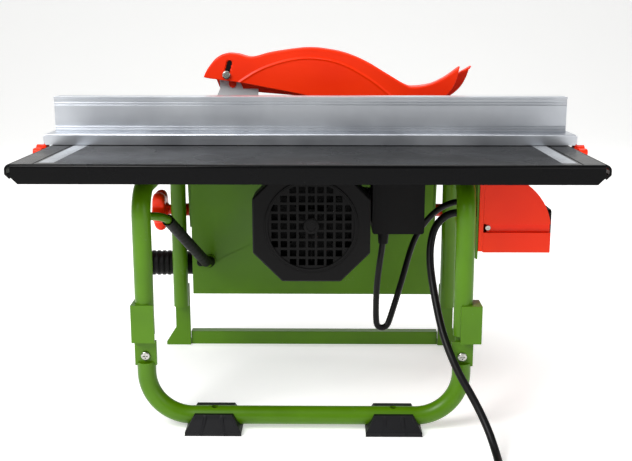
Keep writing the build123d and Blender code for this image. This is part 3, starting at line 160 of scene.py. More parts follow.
@dataclass(frozen=True)
class Finish:
    """A real material and how its surface was made.

    The colour drifts between two near shades over several centimetres, the roughness drifts with it,
    and a fine relief follows the grain.
    """

    name: str
    base: str
    shade: str
    roughness: float
    grain: Grain
    metallic: float = 0.0
    ior: float = 1.5
    coat: float = 0.0
    drift_mm: float = 60.0
    spread: float = 0.06
    specular: float = 0.5

    def build(self) -> bpy.types.Material:
        """Make the material.

        Returns:
            The Blender material, with its pattern on Object coordinates.
        """
        material = bpy.data.materials.new(self.name)
        material.use_nodes = True
        tree = material.node_tree
        shader = tree.nodes["Principled BSDF"]
        place = add_node(tree, "ShaderNodeTexCoord").outputs["Object"]
        drift = add_node(tree, "ShaderNodeTexNoise", links={"Vector": place}, Scale=1000.0 / self.drift_mm,
                         Detail=3.0).outputs["Fac"]
        colour = self.colour(tree, place, drift)
        tree.links.new(colour, shader.inputs["Base Color"])
        rough = add_node(tree, "ShaderNodeMapRange", links={"Value": drift}).outputs["Result"]
        span = rough.node
        span.inputs["From Min"].default_value, span.inputs["From Max"].default_value = 0.3, 0.7
        span.inputs["To Min"].default_value = self.roughness - self.spread
        span.inputs["To Max"].default_value = self.roughness + self.spread
        tree.links.new(rough, shader.inputs["Roughness"])
        tree.links.new(self.relief(tree, place), shader.inputs["Normal"])
        shader.inputs["Metallic"].default_value = self.metallic
        if not self.metallic:
            shader.inputs["IOR"].default_value = self.ior
        shader.inputs["Coat Weight"].default_value = self.coat
        shader.inputs["Coat Roughness"].default_value = 0.18
        shader.inputs["Specular IOR Level"].default_value = self.specular
        return material

    def colour(self, tree: bpy.types.NodeTree, place: bpy.types.NodeSocket,
               drift: bpy.types.NodeSocket) -> bpy.types.NodeSocket:
        """The slow drift between the two shades.

        Args:
            tree: The node tree.
            place: Object coordinates.
            drift: The slow noise.

        Returns:
            The colour's socket.
        """
        return ramp(tree, drift, [(0.36, linear(self.shade)), (0.62, linear(self.base))])

    def relief(self, tree: bpy.types.NodeTree, place: bpy.types.NodeSocket) -> bpy.types.NodeSocket:
        """The fine relief: a noise of the grain's size, drawn out along its direction.

        Args:
            tree: The node tree.
            place: Object coordinates.

        Returns:
            The bumped normal's socket.
        """
        spread = add_node(tree, "ShaderNodeMapping", links={"Vector": place},
                          Scale=self.grain.stretch).outputs["Vector"]
        fine = add_node(tree, "ShaderNodeTexNoise", links={"Vector": spread},
                        Scale=1000.0 / self.grain.size_mm, Detail=2.0).outputs["Fac"]
        return add_node(tree, "ShaderNodeBump", links={"Height": fine}, Strength=self.grain.depth,
                        Distance=0.0004).outputs["Normal"]


@dataclass(frozen=True)
class WornFinish(Finish):
    """A coating with small worn specks, where the metal under it shows."""

    under: str = "9A9C98"
    wear: float = 0.5

    def colour(self, tree: bpy.types.NodeTree, place: bpy.types.NodeSocket,
               drift: bpy.types.NodeSocket) -> bpy.types.NodeSocket:
        """The coating's shades, with small specks of wear where a coarse and a fine noise both peak.

        Args:
            tree: The node tree.
            place: Object coordinates.
            drift: The slow noise.

        Returns:
            The colour's socket.
        """
        coated = ramp(tree, drift, [(0.36, linear(self.shade)), (0.62, linear(self.base))])
        speck = add_node(tree, "ShaderNodeTexNoise", links={"Vector": place}, Scale=420.0, Detail=4.0,
                         Roughness=0.7).outputs["Fac"]
        patch = add_node(tree, "ShaderNodeTexNoise", links={"Vector": place}, Scale=38.0).outputs["Fac"]
        both = add_node(tree, "ShaderNodeMath", {"operation": "MULTIPLY"}, {0: speck, 1: patch}).outputs[0]
        worn = ramp(tree, both, [(0.42, (0, 0, 0, 1)), (0.47, (self.wear,) * 3 + (1,))])
        mixed = add_node(tree, "ShaderNodeMix", {"data_type": "RGBA"}, {0: worn, FIRST: coated})
        mixed.inputs[SECOND].default_value = linear(self.under)
        return mixed.outputs[MIXED]


@dataclass(frozen=True)
class ScaleStrip(Finish):
    """Anodised strip with a printed millimetre scale along Y: short, middle and long marks."""

    ink: str = "1A1B1D"

    def colour(self, tree: bpy.types.NodeTree, place: bpy.types.NodeSocket,
               drift: bpy.types.NodeSocket) -> bpy.types.NodeSocket:
        """Marks each 5 mm and longer ones each 10 and 50 mm, by the remainder of Y.

        Args:
            tree: The node tree.
            place: Object coordinates.
            drift: The slow noise.

        Returns:
            The colour's socket.
        """
        plain = ramp(tree, drift, [(0.36, linear(self.shade)), (0.62, linear(self.base))])
        axes = add_node(tree, "ShaderNodeSeparateXYZ", links={0: place})
        across = add_node(tree, "ShaderNodeMath", {"operation": "ABSOLUTE"},
                          {0: axes.outputs["X"]}).outputs[0]
        total = None
        for step_mm, reach_mm in ((5.0, 221.5), (10.0, 223.5), (50.0, 227.5)):
            part = add_node(tree, "ShaderNodeMath", {"operation": "PINGPONG"}, {0: axes.outputs["Y"]})
            part.inputs[1].default_value = step_mm * MM / 2
            near = add_node(tree, "ShaderNodeMath", {"operation": "LESS_THAN"}, {0: part.outputs[0]})
            near.inputs[1].default_value = 0.35 * MM
            inside = add_node(tree, "ShaderNodeMath", {"operation": "LESS_THAN"}, {0: across})
            inside.inputs[1].default_value = reach_mm * MM
            mark = add_node(tree, "ShaderNodeMath", {"operation": "MULTIPLY"},
                            {0: near.outputs[0], 1: inside.outputs[0]}).outputs[0]
            total = mark if total is None else add_node(
                tree, "ShaderNodeMath", {"operation": "MAXIMUM"}, {0: total, 1: mark}).outputs[0]
        marked = add_node(tree, "ShaderNodeMix", {"data_type": "RGBA"}, {0: total, FIRST: plain})
        marked.inputs[SECOND].default_value = linear(self.ink)
        return marked.outputs[MIXED]


@dataclass(frozen=True)
class GritRim(Finish):
    """Ground steel core with a darker rim of diamond grit, by the distance from the arbor."""

    rim: str = "5B5648"
    centre: tuple[float, float] = (0.003, 0.191)
    core_r: float = 0.0925

    def colour(self, tree: bpy.types.NodeTree, place: bpy.types.NodeSocket,
               drift: bpy.types.NodeSocket) -> bpy.types.NodeSocket:
        """Core colour inside the core's radius, speckled grit outside it.

        Args:
            tree: The node tree.
            place: Object coordinates.
            drift: The slow noise.

        Returns:
            The colour's socket.
        """
        plain = ramp(tree, drift, [(0.36, linear(self.shade)), (0.62, linear(self.base))])
        grit = add_node(tree, "ShaderNodeTexNoise", links={"Vector": place}, Scale=1800.0).outputs["Fac"]
        rim = ramp(tree, grit, [(0.40, linear(self.rim)), (0.60, linear("8C866F"))])
        flat = add_node(tree, "ShaderNodeVectorMath", {"operation": "MULTIPLY"}, {0: place})
        flat.inputs[1].default_value = (1.0, 0.0, 1.0)
        away = add_node(tree, "ShaderNodeVectorMath", {"operation": "DISTANCE"}, {0: flat.outputs[0]})
        away.inputs[1].default_value = (self.centre[0], 0.0, self.centre[1])
        outer = add_node(tree, "ShaderNodeMath", {"operation": "GREATER_THAN"}, {0: away.outputs["Value"]})
        outer.inputs[1].default_value = self.core_r
        return add_node(tree, "ShaderNodeMix", {"data_type": "RGBA"},
                        {0: outer.outputs[0], FIRST: plain, SECOND: rim}).outputs[MIXED]


FINISHES: dict[str, Finish] = {
    # Polyester powder on steel tube and sheet: an orange-peel gloss, chipped a little.
    "green_powder_coat": WornFinish("powder_coated_steel_lime", "507E00", "497400", 0.36, Grain.ORANGE_PEEL,
                                    coat=0.03, wear=0.10, specular=0.28),
    # Stoved enamel on pressed steel: nearly black, satin, with a fine dust of scratches.
    "black_table_enamel": WornFinish("stoved_enamel_charcoal", "060607", "050506", 0.27, Grain.ORANGE_PEEL,
                                     wear=0.04, under="232427", specular=0.12),
    # Injection-moulded ABS: saturated, slightly glossy, faint flow marks.
    "orange_plastic": Finish("moulded_abs_orange", "FF3400", "F62C00", 0.34, Grain.POLISHED_MOULD, ior=1.54,
                             drift_mm=90.0, specular=0.2),
    "red_plastic": Finish("moulded_abs_red", "C3160E", "B5120B", 0.30, Grain.POLISHED_MOULD, ior=1.54),
    "green_button_plastic": Finish("moulded_abs_green", "1E8F35", "1A822F", 0.30, Grain.POLISHED_MOULD,
                                   ior=1.54),
    # Glass-filled nylon from a spark-eroded mould: dull black with a leathery grain.
    "black_plastic": Finish("moulded_nylon_black", "100F0F", "0B0A0B", 0.50, Grain.SPARK_ERODED,
                            specular=0.12),
    # Extruded aluminium: bright, with long die lines.
    "fence_aluminium": Finish("extruded_aluminium", "DCE0E6", "CDD1D8", 0.34, Grain.BRUSHED_ALONG_X,
                              metallic=1.0),
    "scale_aluminium": ScaleStrip("anodised_aluminium_scale", "B9BDC2", "AFB3B8", 0.42, Grain.PRINTED_FLAT,
                                  metallic=0.6),
    "zinc_steel": Finish("zinc_plated_steel", "C6C6C0", "AEAEA6", 0.28, Grain.POLISHED_MOULD, metallic=1.0,
                         drift_mm=12.0),
    "knife_steel": Finish("ground_sheet_steel", "DADBDD", "CDCED1", 0.45, Grain.GROUND, metallic=0.35),
    "disc_steel": GritRim("diamond_disc_steel", "B4B6B8", "A2A4A6", 0.30, Grain.GROUND, metallic=0.85),
    # Die-cast aluminium under black paint.
    "motor_aluminium": WornFinish("painted_die_casting", "121214", "0D0D0F", 0.46, Grain.SAND_CAST, wear=0.12,
                                    specular=0.15),
    "core_steel": Finish("lacquered_laminations", "7A5A3C", "6A4C31", 0.45, Grain.GROUND, metallic=0.3),
    "capacitor_case": Finish("drawn_aluminium_can", "C9CBCD", "BEC0C2", 0.35, Grain.GROUND, metallic=1.0),
    "foot_rubber": Finish("moulded_rubber", "121215", "0D0D10", 0.45, Grain.SPARK_ERODED, specular=0.25),
    "sleeve_rubber": Finish("dipped_rubber", "0E0D0E", "0A090A", 0.50, Grain.POLISHED_MOULD, specular=0.12),
    "cord_sheath": Finish("pvc_cord_sheath", "0E0D0E", "0A090A", 0.40, Grain.POLISHED_MOULD, specular=0.2),
}


class Paint:
    """Keeps one built material for each finish and dresses pieces with it."""

    built: dict[str, bpy.types.Material] = {}

    @classmethod
    def get(cls, slot_name: str) -> bpy.types.Material:
        """The material for a record slot, built once."""
        if slot_name not in cls.built:
            cls.built[slot_name] = FINISHES[slot_name].build()
        return cls.built[slot_name]

    @classmethod
    def dress(cls, obj: bpy.types.Object, slot_name: str) -> bpy.types.Object:
        """Give a piece the one finish of a record slot.

        Args:
            obj: The piece.
            slot_name: The record's material slot.

        Returns:
            The same piece.
        """
        obj.data.materials.clear()
        obj.data.materials.append(cls.get(slot_name))
        return obj


# ---------------------------------------------------------------- meshes from grids
def new_mesh(name: str, points: np.ndarray, faces: list, smooth_deg: float = 40.0) -> bpy.types.Object:
    """Put points and faces into a linked mesh object with outward faces.

    Args:
        name: The piece's name.
        points: N by 3 places in metres.
        faces: Lists of point numbers.
        smooth_deg: Edges sharper than this stay sharp.

    Returns:
        The object, at the origin.
    """
    mesh = bpy.data.meshes.new(name)
    mesh.from_pydata(points.reshape(-1, 3).tolist(), [], faces)
    mesh.validate()
    obj = bpy.data.objects.new(name, mesh)
    bpy.context.scene.collection.objects.link(obj)
    work = bmesh.new()
    work.from_mesh(mesh)
    bmesh.ops.remove_doubles(work, verts=work.verts, dist=1e-6)
    bmesh.ops.recalc_face_normals(work, faces=work.faces)
    work.to_mesh(mesh)
    work.free()
    mesh.polygons.foreach_set("use_smooth", np.ones(len(mesh.polygons), bool))
    mesh.set_sharp_from_angle(angle=math.radians(smooth_deg))
    return obj


def grid_faces(rows: int, columns: int, wrap_rows: bool = False, wrap_columns: bool = False) -> list:
    """Quads over a grid of rows by columns, joined round where asked.

    Args:
        rows: Number of rows.
        columns: Number of columns.
        wrap_rows: Whether the last row joins the first.
        wrap_columns: Whether the last column joins the first.

    Returns:
        Lists of four point numbers.
    """
    i = np.arange(rows if wrap_rows else rows - 1)
    j = np.arange(columns if wrap_columns else columns - 1)
    i, j = (a.ravel() for a in np.meshgrid(i, j, indexing="ij"))
    k, m = (i + 1) % rows, (j + 1) % columns
    return np.stack([i * columns + j, k * columns + j, k * columns + m, i * columns + m], 1).tolist()


def smooth_curve(points: np.ndarray, count: int) -> np.ndarray:
    """Points evenly along a Catmull-Rom curve: each span is the cubic that leaves a point along the
    line between its neighbours.

    Args:
        points: N by 2 or N by 3 places.
        count: How many points to give back.

    Returns:
        count places along the curve.
    """
    p = np.vstack([2 * points[0] - points[1], points, 2 * points[-1] - points[-2]])
    t = np.linspace(0, len(points) - 1, 40 * len(points))
    n = np.minimum(t.astype(int), len(points) - 2)
    u = (t - n)[:, None]
    a, b, c, d = (p[n + k] for k in range(4))
    line = 0.5 * (2 * b + (c - a) * u + (2 * a - 5 * b + 4 * c - d) * u ** 2
                  + (3 * b - a - 3 * c + d) * u ** 3)
    reach = np.r_[0, np.cumsum(np.linalg.norm(np.diff(line, axis=0), axis=1))]
    want = np.linspace(0, reach[-1], count)
    return np.stack([np.interp(want, reach, line[:, k]) for k in range(points.shape[1])], 1)


def turned(name: str, profile: np.ndarray, centre: tuple, axis: str, count: int = 64,
           lobes: int = 0, depth: float = 0.0, wrap: bool = False,
           phase: float = 0.0) -> bpy.types.Object:
    """A profile of (radius, height) turned round an axis, with the radius drawn in between lobes.

    The radius at angle a is r * (1 - depth * w * (1 - cos(lobes * a)) / 2), where w is the profile's
    own share, one at the largest radius.

    Args:
        name: The piece's name.
        profile: N by 2 radius and height, from axis to axis.
        centre: The origin of the profile.
        axis: "x", "y" or "z", the axis turned about.
        count: Points round the axis.
        lobes: Number of lobes, none when zero.
        depth: How deep the lobes are, as a share of the radius.
        wrap: Whether the profile closes on itself, as a ring's does.
        phase: Angle that the lobes are turned back by.

    Returns:
        The piece.
    """
    angle = np.arange(count) * TAU / count
    radius, height = profile[:, :1], profile[:, 1:]
    share = (radius / radius.max()) ** 2
    pull = 1 - depth * share * ((1 - np.cos(lobes * (angle[None] + phase))) / 2) ** 1.5
    u, v = radius * pull * np.cos(angle), radius * pull * np.sin(angle)
    w = np.broadcast_to(height, u.shape)
    order = {"x": (w, u, v), "y": (v, w, u), "z": (u, v, w)}[axis]
    points = np.stack(order, -1) + np.array(centre)
    return new_mesh(name, points, grid_faces(len(profile), count, wrap_rows=wrap, wrap_columns=True))


def tube_along(name: str, line: np.ndarray, radius: np.ndarray | float, sides: int = 24) -> bpy.types.Object:
    """A round tube along a line: rings stand square to it and are carried on without twist.

    Args:
        name: The piece's name.
        line: N by 3 centre points.
        radius: One radius, or one for each point.
        sides: Points round each ring.

    Returns:
        The closed tube.
    """
    ahead = np.gradient(line, axis=0)
    ahead /= np.linalg.norm(ahead, axis=1)[:, None]
    side = np.cross(ahead[0], [0.31, 0.2, 0.93])
    sides_of = []
    for direction in ahead:
        side = side - direction * (side @ direction)
        side /= np.linalg.norm(side)
        sides_of.append(side)
    first = np.array(sides_of)
    second = np.cross(ahead, first)
    angle = np.arange(sides) * TAU / sides
    r = np.broadcast_to(np.asarray(radius, float), (len(line),))[:, None, None]
    ring = np.cos(angle)[None, :, None] * first[:, None] + np.sin(angle)[None, :, None] * second[:, None]
    points = (line[:, None] + r * ring).reshape(-1, 3)
    faces = grid_faces(len(line), sides, wrap_columns=True)
    faces += [list(range(sides)), list(range(len(points) - sides, len(points)))]
    return new_mesh(name, points, faces)


def open_tube(name: str, line: np.ndarray, radius: np.ndarray, sides: int = 32) -> bpy.types.Object:
    """A surface of rings along a straight line, joined end to end, such as a sleeve with a bore.

    Args:
        name: The piece's name.
        line: Ring centres in metres, out along the outside and back in the bore.
        radius: Ring radii in metres.
        sides: Points round each ring.

    Returns:
        The closed sleeve.
    """
    ahead = line[len(line) // 2] - line[0]
    ahead /= np.linalg.norm(ahead)
    first = np.cross(ahead, [0.0, 0.0, 1.0])
    first /= np.linalg.norm(first)
    second = np.cross(ahead, first)
    angle = np.arange(sides) * TAU / sides
    ring = np.cos(angle)[None, :, None] * first + np.sin(angle)[None, :, None] * second
    points = line[:, None] + radius[:, None, None] * ring
    return new_mesh(name, points, grid_faces(len(line), sides, wrap_rows=True, wrap_columns=True))


def ribbon(name: str, line: np.ndarray, half_width: float, half_depth: float) -> bpy.types.Object:
    """A flat bar with round ends in a plane of constant Y, from the first to the second place.

    Its rim is every place at half_width from the line, and its faces lie half_depth each side.

    Args:
        name: The piece's name.
        line: Two places in metres.
        half_width: Half its width in metres.
        half_depth: Half its thickness in metres.

    Returns:
        The closed bar.
    """
    along = math.atan2(line[1, 2] - line[0, 2], line[1, 0] - line[0, 0])
    turn = np.linspace(math.pi / 2, 3 * math.pi / 2, 13)
    angle = along + np.r_[turn, turn + math.pi]
    centre = np.repeat(line, 13, axis=0)
    rim = centre + half_width * np.stack([np.cos(angle), 0 * angle, np.sin(angle)], 1)
    points = np.concatenate([rim + [0, -half_depth, 0], rim + [0, half_depth, 0]])
    count = len(rim)
    faces = grid_faces(2, count, wrap_columns=True)
    faces += [list(range(count)), list(range(count, 2 * count))]
    return new_mesh(name, points, faces)


def slab(name: str, low: tuple, high: tuple, radius_mm: float) -> bpy.types.Object:
    """A block between two corners in millimetres, with softly rounded edges.

    Args:
        name: The piece's name.
        low: The corner with the least x, y and z.
        high: The opposite corner.
        radius_mm: The edges' radius.

    Returns:
        The closed block.
    """
    corners = np.array([[(low, high)[i][0], (low, high)[j][1], (low, high)[k][2]]
                        for i in (0, 1) for j in (0, 1) for k in (0, 1)]) * MM
    faces = [[0, 1, 3, 2], [4, 6, 7, 5], [0, 4, 5, 1], [2, 3, 7, 6], [0, 2, 6, 4], [1, 5, 7, 3]]
    block = new_mesh(name, corners, faces, 30.0)
    bevel = block.modifiers.new("soft_edges", "BEVEL")
    bevel.width, bevel.segments = radius_mm * MM, 3
    return block


def attach(piece: bpy.types.Object, slot_name: str, body: str, *nodes: str) -> None:
    """Dress a piece with the finish of its slot, hang it on its body and hide the CAD nodes that it stands
    for.

    Args:
        piece: The piece.
        slot_name: The record's material slot, which also picks the finish.
        body: The body that it rides on.
        nodes: The CAD nodes that it replaces, if any.
    """
    Paint.dress(piece, slot_name)
    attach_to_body(piece, body)
    if nodes:
        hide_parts(*nodes)


# ---------------------------------------------------------------- camera, light and floor
@dataclass
class Studio:
    """Pale floor, soft light and a camera a little to the operator's side, above the table."""

    eye: tuple[float, float, float] = (0.0164, -0.9825, 0.369)
    down_deg: float = 12.1
    left_deg: float = 0.62
    roll_deg: float = 0.0
    lens_mm: float = 54.11
    floor_hex: str = "F4F4F2"

    def build(self) -> None:
        """Make the camera, the lights, the world and the floor."""
        self.camera()
        self.lights()
        self.floor()
        LOG.info("studio ready")

    def camera(self) -> None:
        """The camera looks along +Y, turned a little left and down."""
        data = bpy.data.cameras.new("camera")
        data.lens, data.sensor_width = self.lens_mm, 36.0
        data.clip_start, data.clip_end = 0.01, 50.0
        camera = bpy.data.objects.new("camera", data)
        camera.location = self.eye
        camera.rotation_euler = (math.radians(90.0 - self.down_deg), math.radians(self.roll_deg),
                                 math.radians(self.left_deg))
        bpy.context.scene.collection.objects.link(camera)
        bpy.context.scene.camera = camera

    def lights(self) -> None:
        """A large key light from the upper left, a weaker fill, a top panel and a bright even world."""
        for name, place, size, power in (("key", (-1.1, -1.2, 1.5), 1.0, 38.0),
                                         ("fill", (1.6, -1.5, 0.8), 1.2, 9.0),
                                         ("top", (0.1, 0.5, 1.9), 1.6, 24.0)):
            data = bpy.data.lights.new(name, "AREA")
            data.size, data.energy = size, power
            light = bpy.data.objects.new(name, data)
            light.location = place
            aim = np.array([0.0, 0.0, 0.15]) - np.array(place)
            light.rotation_euler = (math.acos(-aim[2] / np.linalg.norm(aim)), 0.0,
                                    math.atan2(aim[1], aim[0]) - math.pi / 2)
            bpy.context.scene.collection.objects.link(light)
        world = bpy.data.worlds.new("studio")
        world.use_nodes = True
        tree = world.node_tree
        soft, bright = tree.nodes["Background"], tree.nodes.new("ShaderNodeBackground")
        for node, strength in ((soft, 0.22), (bright, 1.0)):
            node.inputs["Color"].default_value = linear("FFFFFF")
            node.inputs["Strength"].default_value = strength
        seen = add_node(tree, "ShaderNodeLightPath").outputs["Is Camera Ray"]
        both = add_node(tree, "ShaderNodeMixShader",
                        links={0: seen, 1: soft.outputs[0], 2: bright.outputs[0]})
        tree.links.new(both.outputs[0], tree.nodes["World Output"].inputs["Surface"])
        bpy.context.scene.world = world
        bpy.context.scene.view_settings.view_transform = "Standard"

    def floor(self) -> None:
        """A wide pale sheet that curves up far behind: height grows with the square of the distance."""
        y = np.r_[-6.0, -2.0, 0.0, 1.0, np.linspace(2.0, 5.0, 24)]
        z = np.where(y > 2.0, (np.maximum(y - 2.0, 0.0) / 3.0) ** 2 * 4.0, 0.0)
        x = np.array([-6.0, 6.0])
        points = np.stack([np.broadcast_to(x[None], (len(y), 2)), np.broadcast_to(y[:, None], (len(y), 2)),
                           np.broadcast_to(z[:, None], (len(y), 2))], -1)
        mesh = bpy.data.meshes.new("floor_sheet")
        mesh.from_pydata(points.reshape(-1, 3).tolist(), [], [f[::-1] for f in grid_faces(len(y), 2)])
        mesh.polygons.foreach_set("use_smooth", np.ones(len(mesh.polygons), bool))
        sheet = bpy.data.objects.new("floor_sheet", mesh)
        bpy.context.scene.collection.objects.link(sheet)
        paper = bpy.data.materials.new("matt_backdrop_paper")
        paper.use_nodes = True
        shader = paper.node_tree.nodes["Principled BSDF"]
        shader.inputs["Base Color"].default_value = linear(self.floor_hex)
        shader.inputs["Roughness"].default_value = 0.9
        shader.inputs["Emission Color"].default_value = linear("FFFFFF")
        shader.inputs["Emission Strength"].default_value = 0.45
        mesh.materials.append(paper)


# ---------------------------------------------------------------- cords
def spline_curve(name: str, points: list[tuple[float, float, float]], bevel: float) -> bpy.types.Object:
    """A smooth cord: a NURBS spline of order 3 with the given points in millimetres.

    Args:
        name: The piece's name.
        points: Control points in millimetres.
        bevel: The cord's radius in metres, or zero for a bare line.

    Returns:
        The linked curve object.
    """
    curve = bpy.data.curves.new(name, "CURVE")
    curve.dimensions = "3D"
    spline = curve.splines.new("NURBS")
    spline.points.add(len(points) - 1)
    spline.points.foreach_set("co", np.c_[np.array(points) * MM, np.ones(len(points))].ravel())
    spline.order_u = 3
    spline.use_endpoint_u = True
    spline.resolution_u = 8
    curve.bevel_depth = bevel
    curve.bevel_resolution = 5
    curve.use_fill_caps = True
    obj = bpy.data.objects.new(name, curve)
    bpy.context.scene.collection.objects.link(obj)
    return obj


def line_of(points: list[tuple[float, float, float]]) -> np.ndarray:
    """The places along the NURBS spline of these points, read from a curve with no bevel.

    Args:
        points: Control points in millimetres.

    Returns:
        N by 3 places in metres.
    """
    bare = spline_curve("bare_line", points, 0.0)
    bpy.context.view_layer.update()
    mesh = bpy.data.meshes.new_from_object(bare)
    line = np.array([v.co for v in mesh.vertices])
    bpy.data.objects.remove(bare)
    return line


def length_of(line: np.ndarray) -> float:
    """The length of a line of points."""
    return float(np.linalg.norm(np.diff(line, axis=0), axis=1).sum())


@dataclass
class MainsCord:
    """The mains cord: out of the switch box, down past the stand, and away in a neat coil to its plug."""

    radius: float = 0.0036
    coil_centre: tuple[float, float] = (112.0, -319.5)
    coil_inner: float = 36.4
    coil_outer: float = 43.6
    row: float = 7.2
    points_per_turn: int = 18
    start_deg: float = 100.0
    turned_deg: float = 6 * 360.0 - 10.0
    zone_deg: float = 40.0
    route: list = field(default_factory=lambda: [
        (163, -94, 197), (148, -94, 197), (132, -95, 195.5), (120, -97, 184.5), (115.5, -101, 167),
        (115, -107, 150), (117, -115, 132), (120, -127, 113), (123.5, -143, 95), (129, -158, 79),
        (137, -170, 62), (146, -179, 48), (154, -189, 34), (160.5, -202, 20), (164, -217, 8.5),
        (164.5, -234, 3.9), (159, -250, 3.65), (149, -264.5, 3.6), (136, -276.5, 3.6), (124, -283.2, 3.6)])
    tail: list = field(default_factory=lambda: [
        (98, -276.6, 16.2), (84, -279.4, 12.2), (72, -281.6, 9.9), (65, -282, 9.2), (58, -282, 9.2)])

    def coil(self) -> list[tuple[float, float, float]]:
        """Six turns, two beside each other in three rows. Radius and height are functions of the turned
        angle: each changes by one cord width in a short zone, and holds in between.

        Returns:
            Control points in millimetres.
        """
        turned_by = np.arange(0.0, self.turned_deg, 360.0 / self.points_per_turn)
        gap, mid, zone = self.coil_outer - self.coil_inner, self.coil_inner, self.zone_deg

        def rise(at: float) -> np.ndarray:
            """Smooth step from 0 to 1 over one zone that ends at an angle."""
            t = np.clip((turned_by - at + zone) / zone, 0, 1)
            return t * t * (3 - 2 * t)

        radius = mid + gap * (rise(360) - rise(1080 - 2 * zone) + rise(1800 - 4 * zone))
        height = self.radius / MM + self.row * (rise(720 - zone) + rise(1440 - 3 * zone))
        shrink = math.cos(math.pi / self.points_per_turn)
        angle = np.radians(self.start_deg + turned_by)
        x = self.coil_centre[0] + radius / shrink * np.cos(angle)
        y = self.coil_centre[1] + radius / shrink * np.sin(angle)
        return list(zip(x.tolist(), y.tolist(), height.tolist()))

    def build(self) -> None:
        """Make the cord with its coil, which stands for the CAD cord and the CAD coil."""
        points = [*self.route, *self.coil(), *self.tail]
        cord = spline_curve("mains_cord_run", points, self.radius)
        attach(cord, "cord_sheath", "frame", "mains_cord", "mains_coil")
        length = length_of(line_of(points))
        LOG.info("mains cord %.3f m", length)


@dataclass
class MotorLead:
    """The motor lead, a hanging loop from the junction box to the switch box, in two joined tubes.

    The first lies along the motor's side and the second runs between the tilting panel and the stand, but
    neither is hung on a body: both are baked in place and stay still.
    """

    radius: float = 0.003
    route: list = field(default_factory=lambda: [
        (71.3, -92, 178.3), (71.1, -92, 167), (68.5, -91.5, 148), (66, -91, 127), (65.3, -90, 108),
        (65.4, -88.5, 92), (66.6, -87, 79.5), (76.4, -85.5, 79), (80.7, -82.5, 91), (85, -79, 104),
        (89.5, -75, 118), (94, -70, 132), (98.5, -64, 147), (103.5, -58, 160), (110, -54.5, 172),
        (118, -57, 183.5), (127, -65, 194.5), (137, -78, 203), (149, -84, 206), (163, -84, 206)])

    def build(self) -> None:
        """Cut the spline's line at its lowest point and make one tube of each half."""
        line = line_of(self.route)
        low = int(np.argmin(line[:, 2]))
        halves = (("motor_lead_upper", line[:low + 1], "motor_carriage", "tilt_carrier"),
                  ("motor_lead_lower", line[low:], "tilt_carrier", "frame"))
        for name, part, first, last in halves:
            tube = tube_along(name, part, self.radius)
            Paint.dress(tube, "cord_sheath")
            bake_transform(tube)
            LOG.info("%s %.3f m", name, length_of(part))
        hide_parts("motor_lead")


